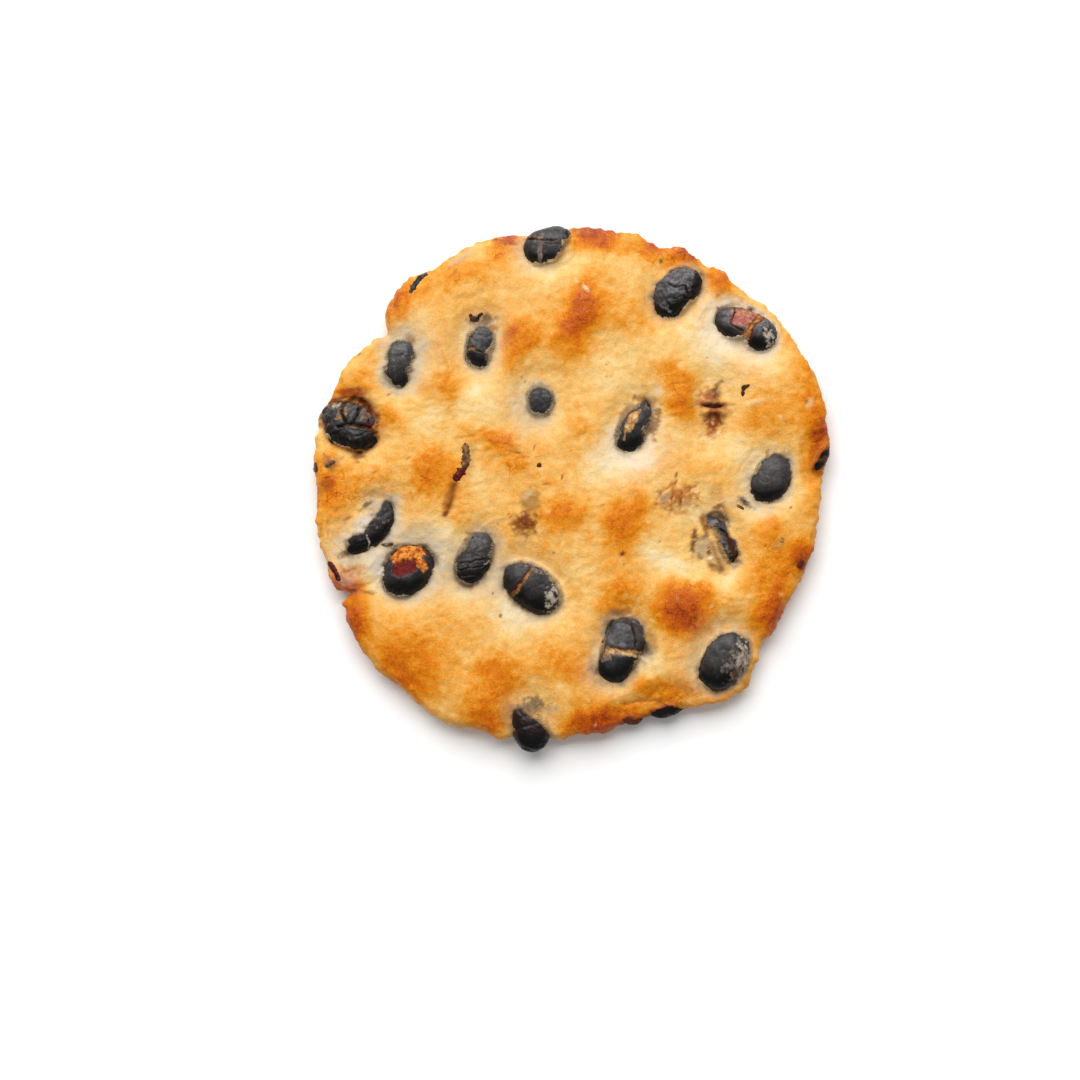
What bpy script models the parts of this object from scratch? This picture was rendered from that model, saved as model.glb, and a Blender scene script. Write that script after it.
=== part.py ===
"""A round Japanese rice cracker with roasted black soybeans baked into it.

The dough is one puffed, uneven disc that lies on the XY plane, shown side up. Each black bean
is a piece of its own and sits in a socket in the dough. Blender units are metres, +Z is up and
the origin is on the table under the middle of the cracker. Sizes below are in millimetres.
"""

import math
from typing import NamedTuple

import bmesh
import bpy
import numpy as np
from mathutils import Matrix

MM = 0.001

# Driving sizes of the dough.
MEAN_RADIUS = 41.6
TOP_LEVEL = 5.1  # usual height of the upper face
EDGE_LEVEL = 4.3  # height of the upper face where it turns down into the rim
UNDER_LEVEL = 0.35  # usual height of the underside, which rests on its lower lumps
UNDER_EDGE_LEVEL = 0.9  # height of the underside where it turns up into the rim
EDGE_FALL = 7.0  # width of the band in which both faces slope to the rim
RIM_DEPTH = 2.0  # how far the rounded rim reaches past the two faces
SOCKET_GAP = 0.3  # clearance of a bean in its socket

# Around the upper face and the underside of a bean the dough lies lower than elsewhere.
TOP_DIP, TOP_DIP_REACH = 0.75, 2.4
UNDER_DIP, UNDER_DIP_REACH = 0.55, 2.0

# How finely the solids are divided.
DOUGH_SEGMENTS, DOUGH_RINGS = 52, 28
BEAN_SEGMENTS, BEAN_RINGS = 12, 8
FACE_SHARE = 0.4  # share of the rings on each face; the rest go round the rim

# The outline: direction in degrees and how far the rim lies outside the mean radius.
# Steps lie at 140, 206 and 320 degrees, where the dough was folded or broken before baking.
OUTLINE = [
    (0, -1.3), (12, 0.8), (28, 1.7), (42, 1.1), (50, 0.4), (56, 1.0), (65, 1.7), (71, 0.1),
    (84, 0.7), (96, 0.4), (102, 0.0), (110, 0.8), (119, 0.5), (130, 1.2), (136, 0.0),
    (140.5, -2.2), (149, -0.3), (160, 0.0), (168, 0.4), (179, -0.2), (188, -0.5),
    (198, -0.1), (203, -0.6), (206, -1.9), (209, 0.3), (216, 1.1), (234, 1.0), (250, 0.6),
    (260, -0.5), (272, -1.6), (284, -2.2), (296, -1.7), (307, 0.1), (312, 0.7), (316, -0.6),
    (320.5, -2.1), (333, -2.1), (345, -1.5),
]


class Bean(NamedTuple):
    """A black soybean: where its middle is, its full size, its turn and its highest point."""

    x: float
    y: float
    length: float
    width: float
    turn: float  # of the length, anticlockwise from +X, in degrees
    top: float
    base: float  # lowest point; beans with a low base show on the underside too


SHOWS_BELOW, HIDDEN_BELOW = 0.35, 1.3
BEANS = {
    "bean_01": Bean(-4.1, 38.7, 8.4, 6.8, 10, 5.9, HIDDEN_BELOW),
    "bean_02": Bean(17.1, 31.7, 9.8, 7.2, 50, 6.2, SHOWS_BELOW),
    "bean_03": Bean(27.9, 25.7, 10.7, 6.7, -25, 6.1, SHOWS_BELOW),
    "bean_04": Bean(-27.4, 19.9, 8.6, 5.8, 78, 5.3, HIDDEN_BELOW),
    "bean_05": Bean(-14.5, 22.8, 8.6, 6.0, 80, 5.4, SHOWS_BELOW),
    "bean_06": Bean(-4.9, 14.2, 7.6, 6.0, 85, 5.1, HIDDEN_BELOW),
    "bean_07": Bean(10.0, 9.8, 9.6, 6.2, 69, 5.6, SHOWS_BELOW),
    "bean_08": Bean(-35.4, 9.9, 10.0, 8.0, -35, 6.2, SHOWS_BELOW),
    "bean_09": Bean(32.1, 1.5, 8.4, 6.6, 67, 5.6, HIDDEN_BELOW),
    "bean_10": Bean(23.0, -8.6, 9.0, 6.6, -60, 5.4, HIDDEN_BELOW),
    "bean_11": Bean(-32.4, -6.2, 10.2, 6.4, 49, 5.5, HIDDEN_BELOW),
    "bean_12": Bean(-26.2, -13.5, 9.8, 7.8, 50, 6.1, SHOWS_BELOW),
    "bean_13": Bean(-15.5, -11.3, 9.4, 6.4, 67, 5.8, HIDDEN_BELOW),
    "bean_14": Bean(-6.2, -15.8, 11.0, 7.6, -38, 6.3, SHOWS_BELOW),
    "bean_15": Bean(8.1, -25.8, 11.0, 7.2, 69, 6.1, HIDDEN_BELOW),
    "bean_16": Bean(24.7, -27.4, 10.8, 8.0, 62, 6.3, SHOWS_BELOW),
    "bean_17": Bean(-6.4, -37.7, 9.0, 6.4, 98, 5.6, HIDDEN_BELOW),
    "bean_18": Bean(15.3, -34.7, 6.2, 4.4, 17, 4.2, 0.8),
    "bean_19": Bean(9.8, -36.4, 3.8, 3.4, 12, 3.9, 0.9),
    "bean_20": Bean(38.9, 4.8, 5.8, 3.8, 68, 4.3, 0.9),
    "bean_21": Bean(22.8, 12.9, 8.2, 4.8, 86, 5.0, HIDDEN_BELOW),
}

# Blisters that puffed up in the oven: x, y, spread and rise.
BLISTERS = [
    (1.3, 27.0, 5.5, 1.1), (-8.1, 24.0, 3.8, 0.6), (-20.4, 15.6, 4.2, 0.6),
    (-12.9, 8.4, 3.6, 0.6), (-23.2, 3.2, 4.6, 0.7), (-9.6, 4.9, 3.0, 0.5),
    (-1.9, -3.8, 4.0, 0.8), (8.8, -5.0, 4.6, 0.9), (17.9, -19.2, 5.0, 1.3),
    (17.0, 16.2, 3.8, 0.6), (8.2, -15.5, 4.4, 0.7), (-11.5, -28.0, 6.0, 0.6),
    (4.6, -36.4, 4.4, 0.8), (31.0, -19.5, 4.4, 0.8), (24.3, 33.0, 3.4, 0.6),
    (-26.6, 31.2, 4.2, 0.6), (-33.8, -21.2, 4.2, 0.6), (26.6, 12.2, 5.0, 0.4),
    (-15.0, 33.6, 4.6, 0.4), (36.0, 9.0, 4.4, 0.4),
]

# Lumps of the underside that press down to the table: x, y, spread and drop.
FEET = [
    (0.0, 0.0, 9.0, 0.9), (0.5, 25.0, 6.0, 0.8), (26.0, -14.0, 6.0, 0.8),
    (-24.0, 10.0, 6.0, 0.8), (20.0, 15.0, 5.5, 0.8), (-15.0, -26.0, 6.0, 0.8),
    (12.0, -32.5, 4.5, 0.8), (-33.0, -18.5, 3.6, 0.8),
]


def outline_radius(angle):
    """Rim radius in a direction in degrees: smooth cubic pieces through the outline's points."""
    turns = np.array([point[0] for point in OUTLINE], float)
    steps = np.array([point[1] for point in OUTLINE], float)
    turns = np.concatenate([turns[-2:] - 360, turns, turns[:2] + 360])
    steps = np.concatenate([steps[-2:], steps, steps[:2]])
    slopes = np.gradient(steps, turns)
    angle = angle % 360
    left = np.searchsorted(turns, angle, side="right") - 1
    span = turns[left + 1] - turns[left]
    t = (angle - turns[left]) / span
    blend = t * t * (3 - 2 * t)
    start_bulge = t * (1 - t) ** 2 * span * slopes[left]
    end_bulge = t * t * (t - 1) * span * slopes[left + 1]
    step = steps[left] * (1 - blend) + steps[left + 1] * blend + start_bulge + end_bulge
    return MEAN_RADIUS + step


def sum_of_lumps(x, y, lumps):
    """Rounded lumps added up: each is its rise times a bell curve of the distance."""
    return sum(
        rise * math.exp(-((x - cx) ** 2 + (y - cy) ** 2) / spread**2)
        for cx, cy, spread, rise in lumps
    )


def nearness(x, y, beans, reach):
    """1 inside the nearest bean's footprint, falling to 0 as a bell curve of the distance."""
    nearest = 0.0
    for bean in beans:
        turn = math.radians(bean.turn)
        along = (x - bean.x) * math.cos(turn) + (y - bean.y) * math.sin(turn)
        across = (y - bean.y) * math.cos(turn) - (x - bean.x) * math.sin(turn)
        size = math.hypot(along / (bean.length / 2), across / (bean.width / 2))
        outside = max(0.0, size - 1) * (bean.length + bean.width) / 4
        nearest = max(nearest, math.exp(-((outside / reach) ** 2)))
    return nearest


def edge_share(inset):
    """1 at the rim and 0 beyond the band in which the faces slope to it."""
    share = min(1.0, max(0.0, 1 - inset / EDGE_FALL))
    return share * share


def top_height(x, y, inset):
    """Height of the upper face: its level, its blisters, and dips at the beans and the rim."""
    level = TOP_LEVEL + (EDGE_LEVEL - TOP_LEVEL) * edge_share(inset)
    dip = TOP_DIP * nearness(x, y, BEANS.values(), TOP_DIP_REACH)
    return level + sum_of_lumps(x, y, BLISTERS) - dip


def under_height(x, y, inset):
    """Height of the underside, cut off flat where a lump meets the table."""
    level = UNDER_LEVEL + (UNDER_EDGE_LEVEL - UNDER_LEVEL) * edge_share(inset)
    showing = [bean for bean in BEANS.values() if bean.base == SHOWS_BELOW]
    dip = UNDER_DIP * nearness(x, y, showing, UNDER_DIP_REACH)
    return max(0.0, level + dip - sum_of_lumps(x, y, FEET))


def dough_point(way, angle):
    """A point of the dough's skin. way runs from 0 at the middle of the upper face, over the
    rim, to 1 at the middle of the underside; angle is the direction in degrees."""
    cos, sin = math.cos(math.radians(angle)), math.sin(math.radians(angle))
    face_edge = outline_radius(angle) - RIM_DEPTH
    share = min(1.0, min(way, 1 - way) / FACE_SHARE)
    radius = face_edge * share
    inset = face_edge - radius
    if way <= FACE_SHARE:
        height = top_height(radius * cos, radius * sin, inset)
    elif way >= 1 - FACE_SHARE:
        height = under_height(radius * cos, radius * sin, inset)
    else:
        upper = top_height(radius * cos, radius * sin, 0)
        lower = under_height(radius * cos, radius * sin, 0)
        swing = math.pi * (way - FACE_SHARE) / (1 - 2 * FACE_SHARE)
        radius += RIM_DEPTH * math.sin(swing)
        height = (upper + lower) / 2 + (upper - lower) / 2 * math.cos(swing)
    return radius * cos * MM, radius * sin * MM, height * MM


def material(name, colour, roughness):
    """A plain surface of that colour, given as linear red, green and blue."""
    made = bpy.data.materials.new(name)
    made.use_nodes = True
    surface = made.node_tree.nodes["Principled BSDF"]
    surface.inputs["Base Color"].default_value = (*colour, 1)
    surface.inputs["Roughness"].default_value = roughness
    return made


def object_of(name, work, finish=None):
    """Puts the worked mesh into the scene as an object of that name, shaded smooth."""
    mesh = bpy.data.meshes.new(name)
    work.to_mesh(mesh)
    work.free()
    mesh.shade_smooth()
    if finish:
        mesh.materials.append(finish)
    made = bpy.data.objects.new(name, mesh)
    bpy.context.scene.collection.objects.link(made)
    return made


def make_dough(finish):
    """The dough: a sphere's rings laid out over the upper face, the rim and the underside."""
    work = bmesh.new()
    bmesh.ops.create_uvsphere(
        work, u_segments=DOUGH_SEGMENTS, v_segments=DOUGH_RINGS, radius=1
    )
    for vertex in work.verts:
        way = math.acos(max(-1.0, min(1.0, vertex.co.z))) / math.pi
        angle = math.degrees(math.atan2(vertex.co.y, vertex.co.x))
        vertex.co = dough_point(way, angle)
    return object_of("dough", work, finish)


def bean_shape(bean, extra=0.0):
    """The bean's mesh about its own middle: an egg-shaped oval, dented at the seed scar on one
    long side. extra is added all round, for the socket's cutter."""
    work = bmesh.new()
    bmesh.ops.create_uvsphere(
        work, u_segments=BEAN_SEGMENTS, v_segments=BEAN_RINGS, radius=1
    )
    half = [
        (bean.length / 2 + extra) * MM,
        (bean.width / 2 + extra) * MM,
        ((bean.top - bean.base) / 2 + extra) * MM,
    ]
    for vertex in work.verts:
        x, y, z = vertex.co
        egg = 1 + 0.07 * x
        scar = 0.08 * max(0.0, -y) * math.exp(-((x / 0.35) ** 2))
        vertex.co = (x * half[0], (y * egg + scar) * half[1], z * egg * half[2])
    return work


def place(made, bean):
    """Moves a bean or its cutter to where the bean sits and turns it."""
    made.location = (bean.x * MM, bean.y * MM, (bean.top + bean.base) / 2 * MM)
    made.rotation_euler = Matrix.Rotation(math.radians(bean.turn), 3, "Z").to_euler()


def cut_sockets(dough):
    """Takes a socket for every bean out of the dough, a little larger than the bean."""
    cutters = bpy.data.collections.new("socket_cutters")
    bpy.context.scene.collection.children.link(cutters)
    for name, bean in BEANS.items():
        cutter = object_of(f"socket_{name}", bean_shape(bean, SOCKET_GAP))
        bpy.context.scene.collection.objects.unlink(cutter)
        cutters.objects.link(cutter)
        cutter.hide_render = True
        cutter.display_type = "WIRE"
        place(cutter, bean)
    sockets = dough.modifiers.new("sockets", "BOOLEAN")
    sockets.operation = "DIFFERENCE"
    sockets.operand_type = "COLLECTION"
    sockets.collection = cutters
    sockets.solver = "EXACT"


def main():
    for old in list(bpy.data.objects):
        bpy.data.objects.remove(old)
    crust = material("toasted_rice_dough", (0.90, 0.47, 0.14), 0.55)
    skin = material("black_bean_skin", (0.055, 0.052, 0.055), 0.6)
    dough = make_dough(crust)
    for name, bean in BEANS.items():
        place(object_of(name, bean_shape(bean), skin), bean)
    cut_sockets(dough)


main()
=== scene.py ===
import math
from itertools import product
from typing import NamedTuple

import bpy
import numpy as np
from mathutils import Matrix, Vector


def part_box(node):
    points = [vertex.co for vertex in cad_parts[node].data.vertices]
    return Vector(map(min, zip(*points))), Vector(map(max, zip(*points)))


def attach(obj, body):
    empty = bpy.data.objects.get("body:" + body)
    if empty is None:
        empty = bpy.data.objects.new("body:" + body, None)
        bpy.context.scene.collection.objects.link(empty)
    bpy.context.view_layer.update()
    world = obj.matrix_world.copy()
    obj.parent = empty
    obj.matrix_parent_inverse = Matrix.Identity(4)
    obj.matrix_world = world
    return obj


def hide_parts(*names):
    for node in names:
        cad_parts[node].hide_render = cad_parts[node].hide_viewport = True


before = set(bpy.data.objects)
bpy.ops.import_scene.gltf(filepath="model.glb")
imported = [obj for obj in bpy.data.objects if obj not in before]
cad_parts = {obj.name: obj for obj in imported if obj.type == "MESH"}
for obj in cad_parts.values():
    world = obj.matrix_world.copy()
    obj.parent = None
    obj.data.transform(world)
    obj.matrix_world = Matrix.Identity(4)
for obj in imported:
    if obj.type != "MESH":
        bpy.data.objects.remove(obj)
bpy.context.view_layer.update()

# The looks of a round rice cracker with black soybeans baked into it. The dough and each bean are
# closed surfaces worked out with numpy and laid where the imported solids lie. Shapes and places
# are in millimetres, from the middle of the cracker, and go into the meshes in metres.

MM = 0.001


# ---------------------------------------------------------------- noise and small curves

# The last number given to each noise is its seed, which only makes it unlike the others.
SEED_SHIFT = 0.731  # how far a seed moves the lattice, in lumps
NOISE_GAIN = 1.6  # brings the blended slopes up to about -1 to 1
CREASE_GAIN = 2.2  # how narrow the creases are
STREAK_TURNS = (15, 60, 105, 150)  # directions of the streaks, in degrees from +X
STREAK_FIELD = 9  # size in mm of the places where one direction wins


def lattice_values(cells, seed):
    """One fixed random number from -1 to 1 for each whole-number cell: its coordinates and the
    seed are multiplied by odd numbers, added, and mixed by shifting and multiplying bits."""
    cells = cells.astype(np.int64).astype(np.uint32)
    mixed = cells[..., 0] * np.uint32(374761393) + cells[..., 1] * np.uint32(668265263)
    mixed = mixed + cells[..., 2] * np.uint32(2246822519) + np.uint32(seed * 3266489 % 2**32)
    mixed = (mixed ^ (mixed >> np.uint32(13))) * np.uint32(1274126177)
    mixed = (mixed ^ (mixed >> np.uint32(16))) * np.uint32(2654435761)
    return (mixed ^ (mixed >> np.uint32(15))).astype(float) / 2**31 - 1


def noise(points, size, seed):
    """Smooth noise from about -1 to 1 with lumps about size across: at each corner of a lattice a
    random slope rises through the point, and the eight slopes are blended by a fifth-degree
    ease. size is one number, or three for lumps that are longer along one axis."""
    spots = points / np.asarray(size, float) + seed * SEED_SHIFT
    base = np.floor(spots)
    part = spots - base
    ease = part**3 * (part * (part * 6 - 15) + 10)
    total = 0.0
    for corner in product((0, 1), repeat=3):
        weight = np.prod(np.where(corner, ease, 1 - ease), axis=-1)
        away = part - corner
        rise = sum(lattice_values(base + corner, seed * 3 + i) * away[..., i] for i in range(3))
        total = total + weight * rise
    return total * NOISE_GAIN


def noises(points, *layers):
    """The sum of several noises, each given by its swing, size and seed."""
    return sum(swing * noise(points, size, seed) for swing, size, seed in layers)


def creased_noise(points, size, seed):
    """Noise folded at zero, from 0 to 1, so that it has thin sharp creases at 1."""
    return 1 - np.minimum(1, CREASE_GAIN * np.abs(noise(points, size, seed)))


def unturned(turn):
    """The matrix that points are multiplied by to measure them along and across a line in plan
    that is turned anticlockwise from +X, in degrees."""
    cos, sin = math.cos(math.radians(turn)), math.sin(math.radians(turn))
    return np.array([[cos, -sin, 0], [sin, cos, 0], [0, 0, 1]])


def streaks(points, length, width, seed):
    """Noise drawn out into streaks of one length and width, in four directions by turns: the
    direction whose slow noise is strongest at a place wins there."""
    total, weights = 0.0, 0.0
    for i, turn in enumerate(STREAK_TURNS):
        weight = np.exp(5 * noise(points, STREAK_FIELD, seed + 20 + i))
        total = total + weight * noise(points @ unturned(turn), (length, width, width), seed + i)
        weights = weights + weight
    return total / weights


def smooth_step(low, high, value):
    """0 below low, 1 above high, and an even third-degree ease between them."""
    share = np.clip((value - low) / (high - low), 0, 1)
    return share * share * (3 - 2 * share)


def smooth_max(first, second, blend):
    """The larger of two heights, with the crease between them rounded over blend."""
    share = np.clip(0.5 + 0.5 * (first - second) / blend, 0, 1)
    return second * (1 - share) + first * share + blend * share * (1 - share)


def bell(distance):
    """A bell curve: 1 at no distance, falling off as the exponential of its negative square."""
    return np.exp(-(distance**2))


def path_distance(x, y, path):
    """Distance in plan from each point to a path of straight runs."""
    nearest = np.full(np.shape(x), np.inf)
    for (ax, ay), (bx, by) in zip(path[:-1], path[1:]):
        run_x, run_y = bx - ax, by - ay
        share = ((x - ax) * run_x + (y - ay) * run_y) / (run_x**2 + run_y**2)
        share = np.clip(share, 0, 1)
        nearest = np.minimum(nearest, np.hypot(x - ax - share * run_x, y - ay - share * run_y))
    return nearest


def along_across(x, y, middle, turn):
    """Each point's place along and across a line through middle, turned anticlockwise from +X."""
    cos, sin = math.cos(math.radians(turn)), math.sin(math.radians(turn))
    across = (y - middle[1]) * cos - (x - middle[0]) * sin
    return (x - middle[0]) * cos + (y - middle[1]) * sin, across


def oval_size(x, y, oval, corner=2):
    """How far out each point lies in an oval (x, y, length, width, turn): 0 in its middle and 1
    on its edge. A corner above 2 squares the oval towards a rectangle."""
    along, across = along_across(x, y, oval[:2], oval[4])
    along, across = np.abs(along / (oval[2] / 2)), np.abs(across / (oval[3] / 2))
    return (along**corner + across**corner) ** (1 / corner)


def oval_gap(x, y, oval):
    """Distance in mm outside an oval's edge, and below 0 inside it: how far out the point lies
    in the oval, less one, over how fast that grows there."""
    along, across = along_across(x, y, oval[:2], oval[4])
    long, wide = oval[2] / 2, oval[3] / 2
    size = np.hypot(along / long, across / wide)
    slope = np.hypot(along / long**2, across / wide**2)
    return (size - 1) * np.maximum(size, 1e-6) / np.maximum(slope, 1e-6)


def flat_spots(x, y):
    """Points of the plane in which the dough's patterns are worked out."""
    return np.stack([x, y, np.zeros_like(x)], -1)


# ---------------------------------------------------------------- the beans' seats, from the frame


class Seat(NamedTuple):
    """Where a packed bean lies: its middle, its half sizes and its turn from +X in degrees."""

    middle: np.ndarray
    half: np.ndarray
    turn: float


def seat_of(node):
    """Reads a packed bean: the turn is the direction in plan in which its points spread most."""
    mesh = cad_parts[node].data
    points = np.empty(len(mesh.vertices) * 3)
    mesh.vertices.foreach_get("co", points)
    points = points.reshape(-1, 3) / MM
    spread = np.cov((points - points.mean(0))[:, :2].T)
    way = np.linalg.eigh(spread)[1][:, 1]
    way = way if way[0] > 0 else -way
    turn = math.degrees(math.atan2(way[1], way[0]))
    turned = points @ unturned(turn)
    low, high = turned.min(0), turned.max(0)
    return Seat(unturned(turn) @ ((low + high) / 2), (high - low) / 2, turn)


BEAN_NODES = sorted(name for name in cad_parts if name.startswith("bean_"))
SEATS = {name: seat_of(name) for name in BEAN_NODES}


def bean_seed(name):
    """The first of a bean's own seeds."""
    return int(name[-2:]) * 7


# ---------------------------------------------------------------- what each bean looks like


class Crack(NamedTuple):
    """A split in a bean's skin: its path, half its width, its depth and the colour in it."""

    path: tuple
    width: float
    depth: float
    flesh: str


class Peel(NamedTuple):
    """A place with another surface than the skin: its oval, how deep it lies, its two colours,
    how ragged its edge is, and how square it is."""

    oval: tuple
    depth: float
    colours: tuple
    ragged: float = 0.35
    corner: float = 2.0


class BeanLook(NamedTuple):
    """How a bean shows. gaps are ovals that together make the opening in the dough over it. The
    film of dough is cover mm thick at their edge and thickens by film mm over the next mm, and
    dust is how much flour clings to the skin just inside it. shows is how much of the skin's
    darkness comes through the film, and ragged is how uneven the opening is. wrinkle and lumps
    are the depth of the skin's creases and of the bean's broad unevenness. bloom_and_highlight is
    how grey the skin looks: partly a bloom where it was rubbed, and partly a painted highlight on
    the faces turned up and towards +Y, where the key light falls. halo is the steamed ring in the
    dough round the opening: its colour, strength, reach in mm, and the way it leans. fringe is the
    narrow darker line right at the edge: its colour, strength and reach. nudge is how far the baked
    bean has settled from its seat, and tuck how far outside the opening the bean is pressed flat
    under the dough."""

    gaps: tuple
    film: float = 0.25
    cover: float = 0.05
    dust: float = 0.12
    shows: float = 1.0
    ragged: float = 1.0
    wrinkle: float = 0.10
    lumps: float = 0.10
    skin: str = "skin"
    bloom_and_highlight: float = 0.5
    halo: tuple = ("ash", 0.6, 1.2, 0.0, 0.0)
    fringe: tuple = ("fringe", 0.45, 0.6)
    cracks: tuple = ()
    peels: tuple = ()
    nudge: tuple = (0.0, 0.0, 0.0)
    tuck: float = 1.8


COLOURS = {
    "skin": "#3D3836",
    "dull_skin": "#4A4644",
    "brown_skin": "#5E3420",
    "rim_skin": "#2C1F15",
    # the dark of scorched skin, and of the painted shade on faces turned away from the key light
    "char_and_shade": "#1C130C",
    # a rubbed bloom, and a painted highlight: this grey is laid most on faces turned up and towards
    # +Y
    "bloom_and_highlight": "#716E70",
    "cream": "#DDB178",
    "tan": "#A87A48",
    "orange": "#C07A42",
    "crumb": "#E9963E",
    "burnt_crumb": "#A84E1E",
    "pink": "#BA8069",
    "rose": "#A65A56",
    "dark_pink": "#6A2218",
    "grey_film": "#83756A",
    "white_film": "#BDAF9E",
    "brown": "#5A3D28",
    "red_brown": "#6E2412",
    "slit": "#5C1A16",
    "ash": "#D9C7AA",
    "dust": "#85786A",
    "steamed": "#F4E0C2",
    "fringe": "#86705A",
    "toasted_edge": "#A8642C",
}

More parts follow.
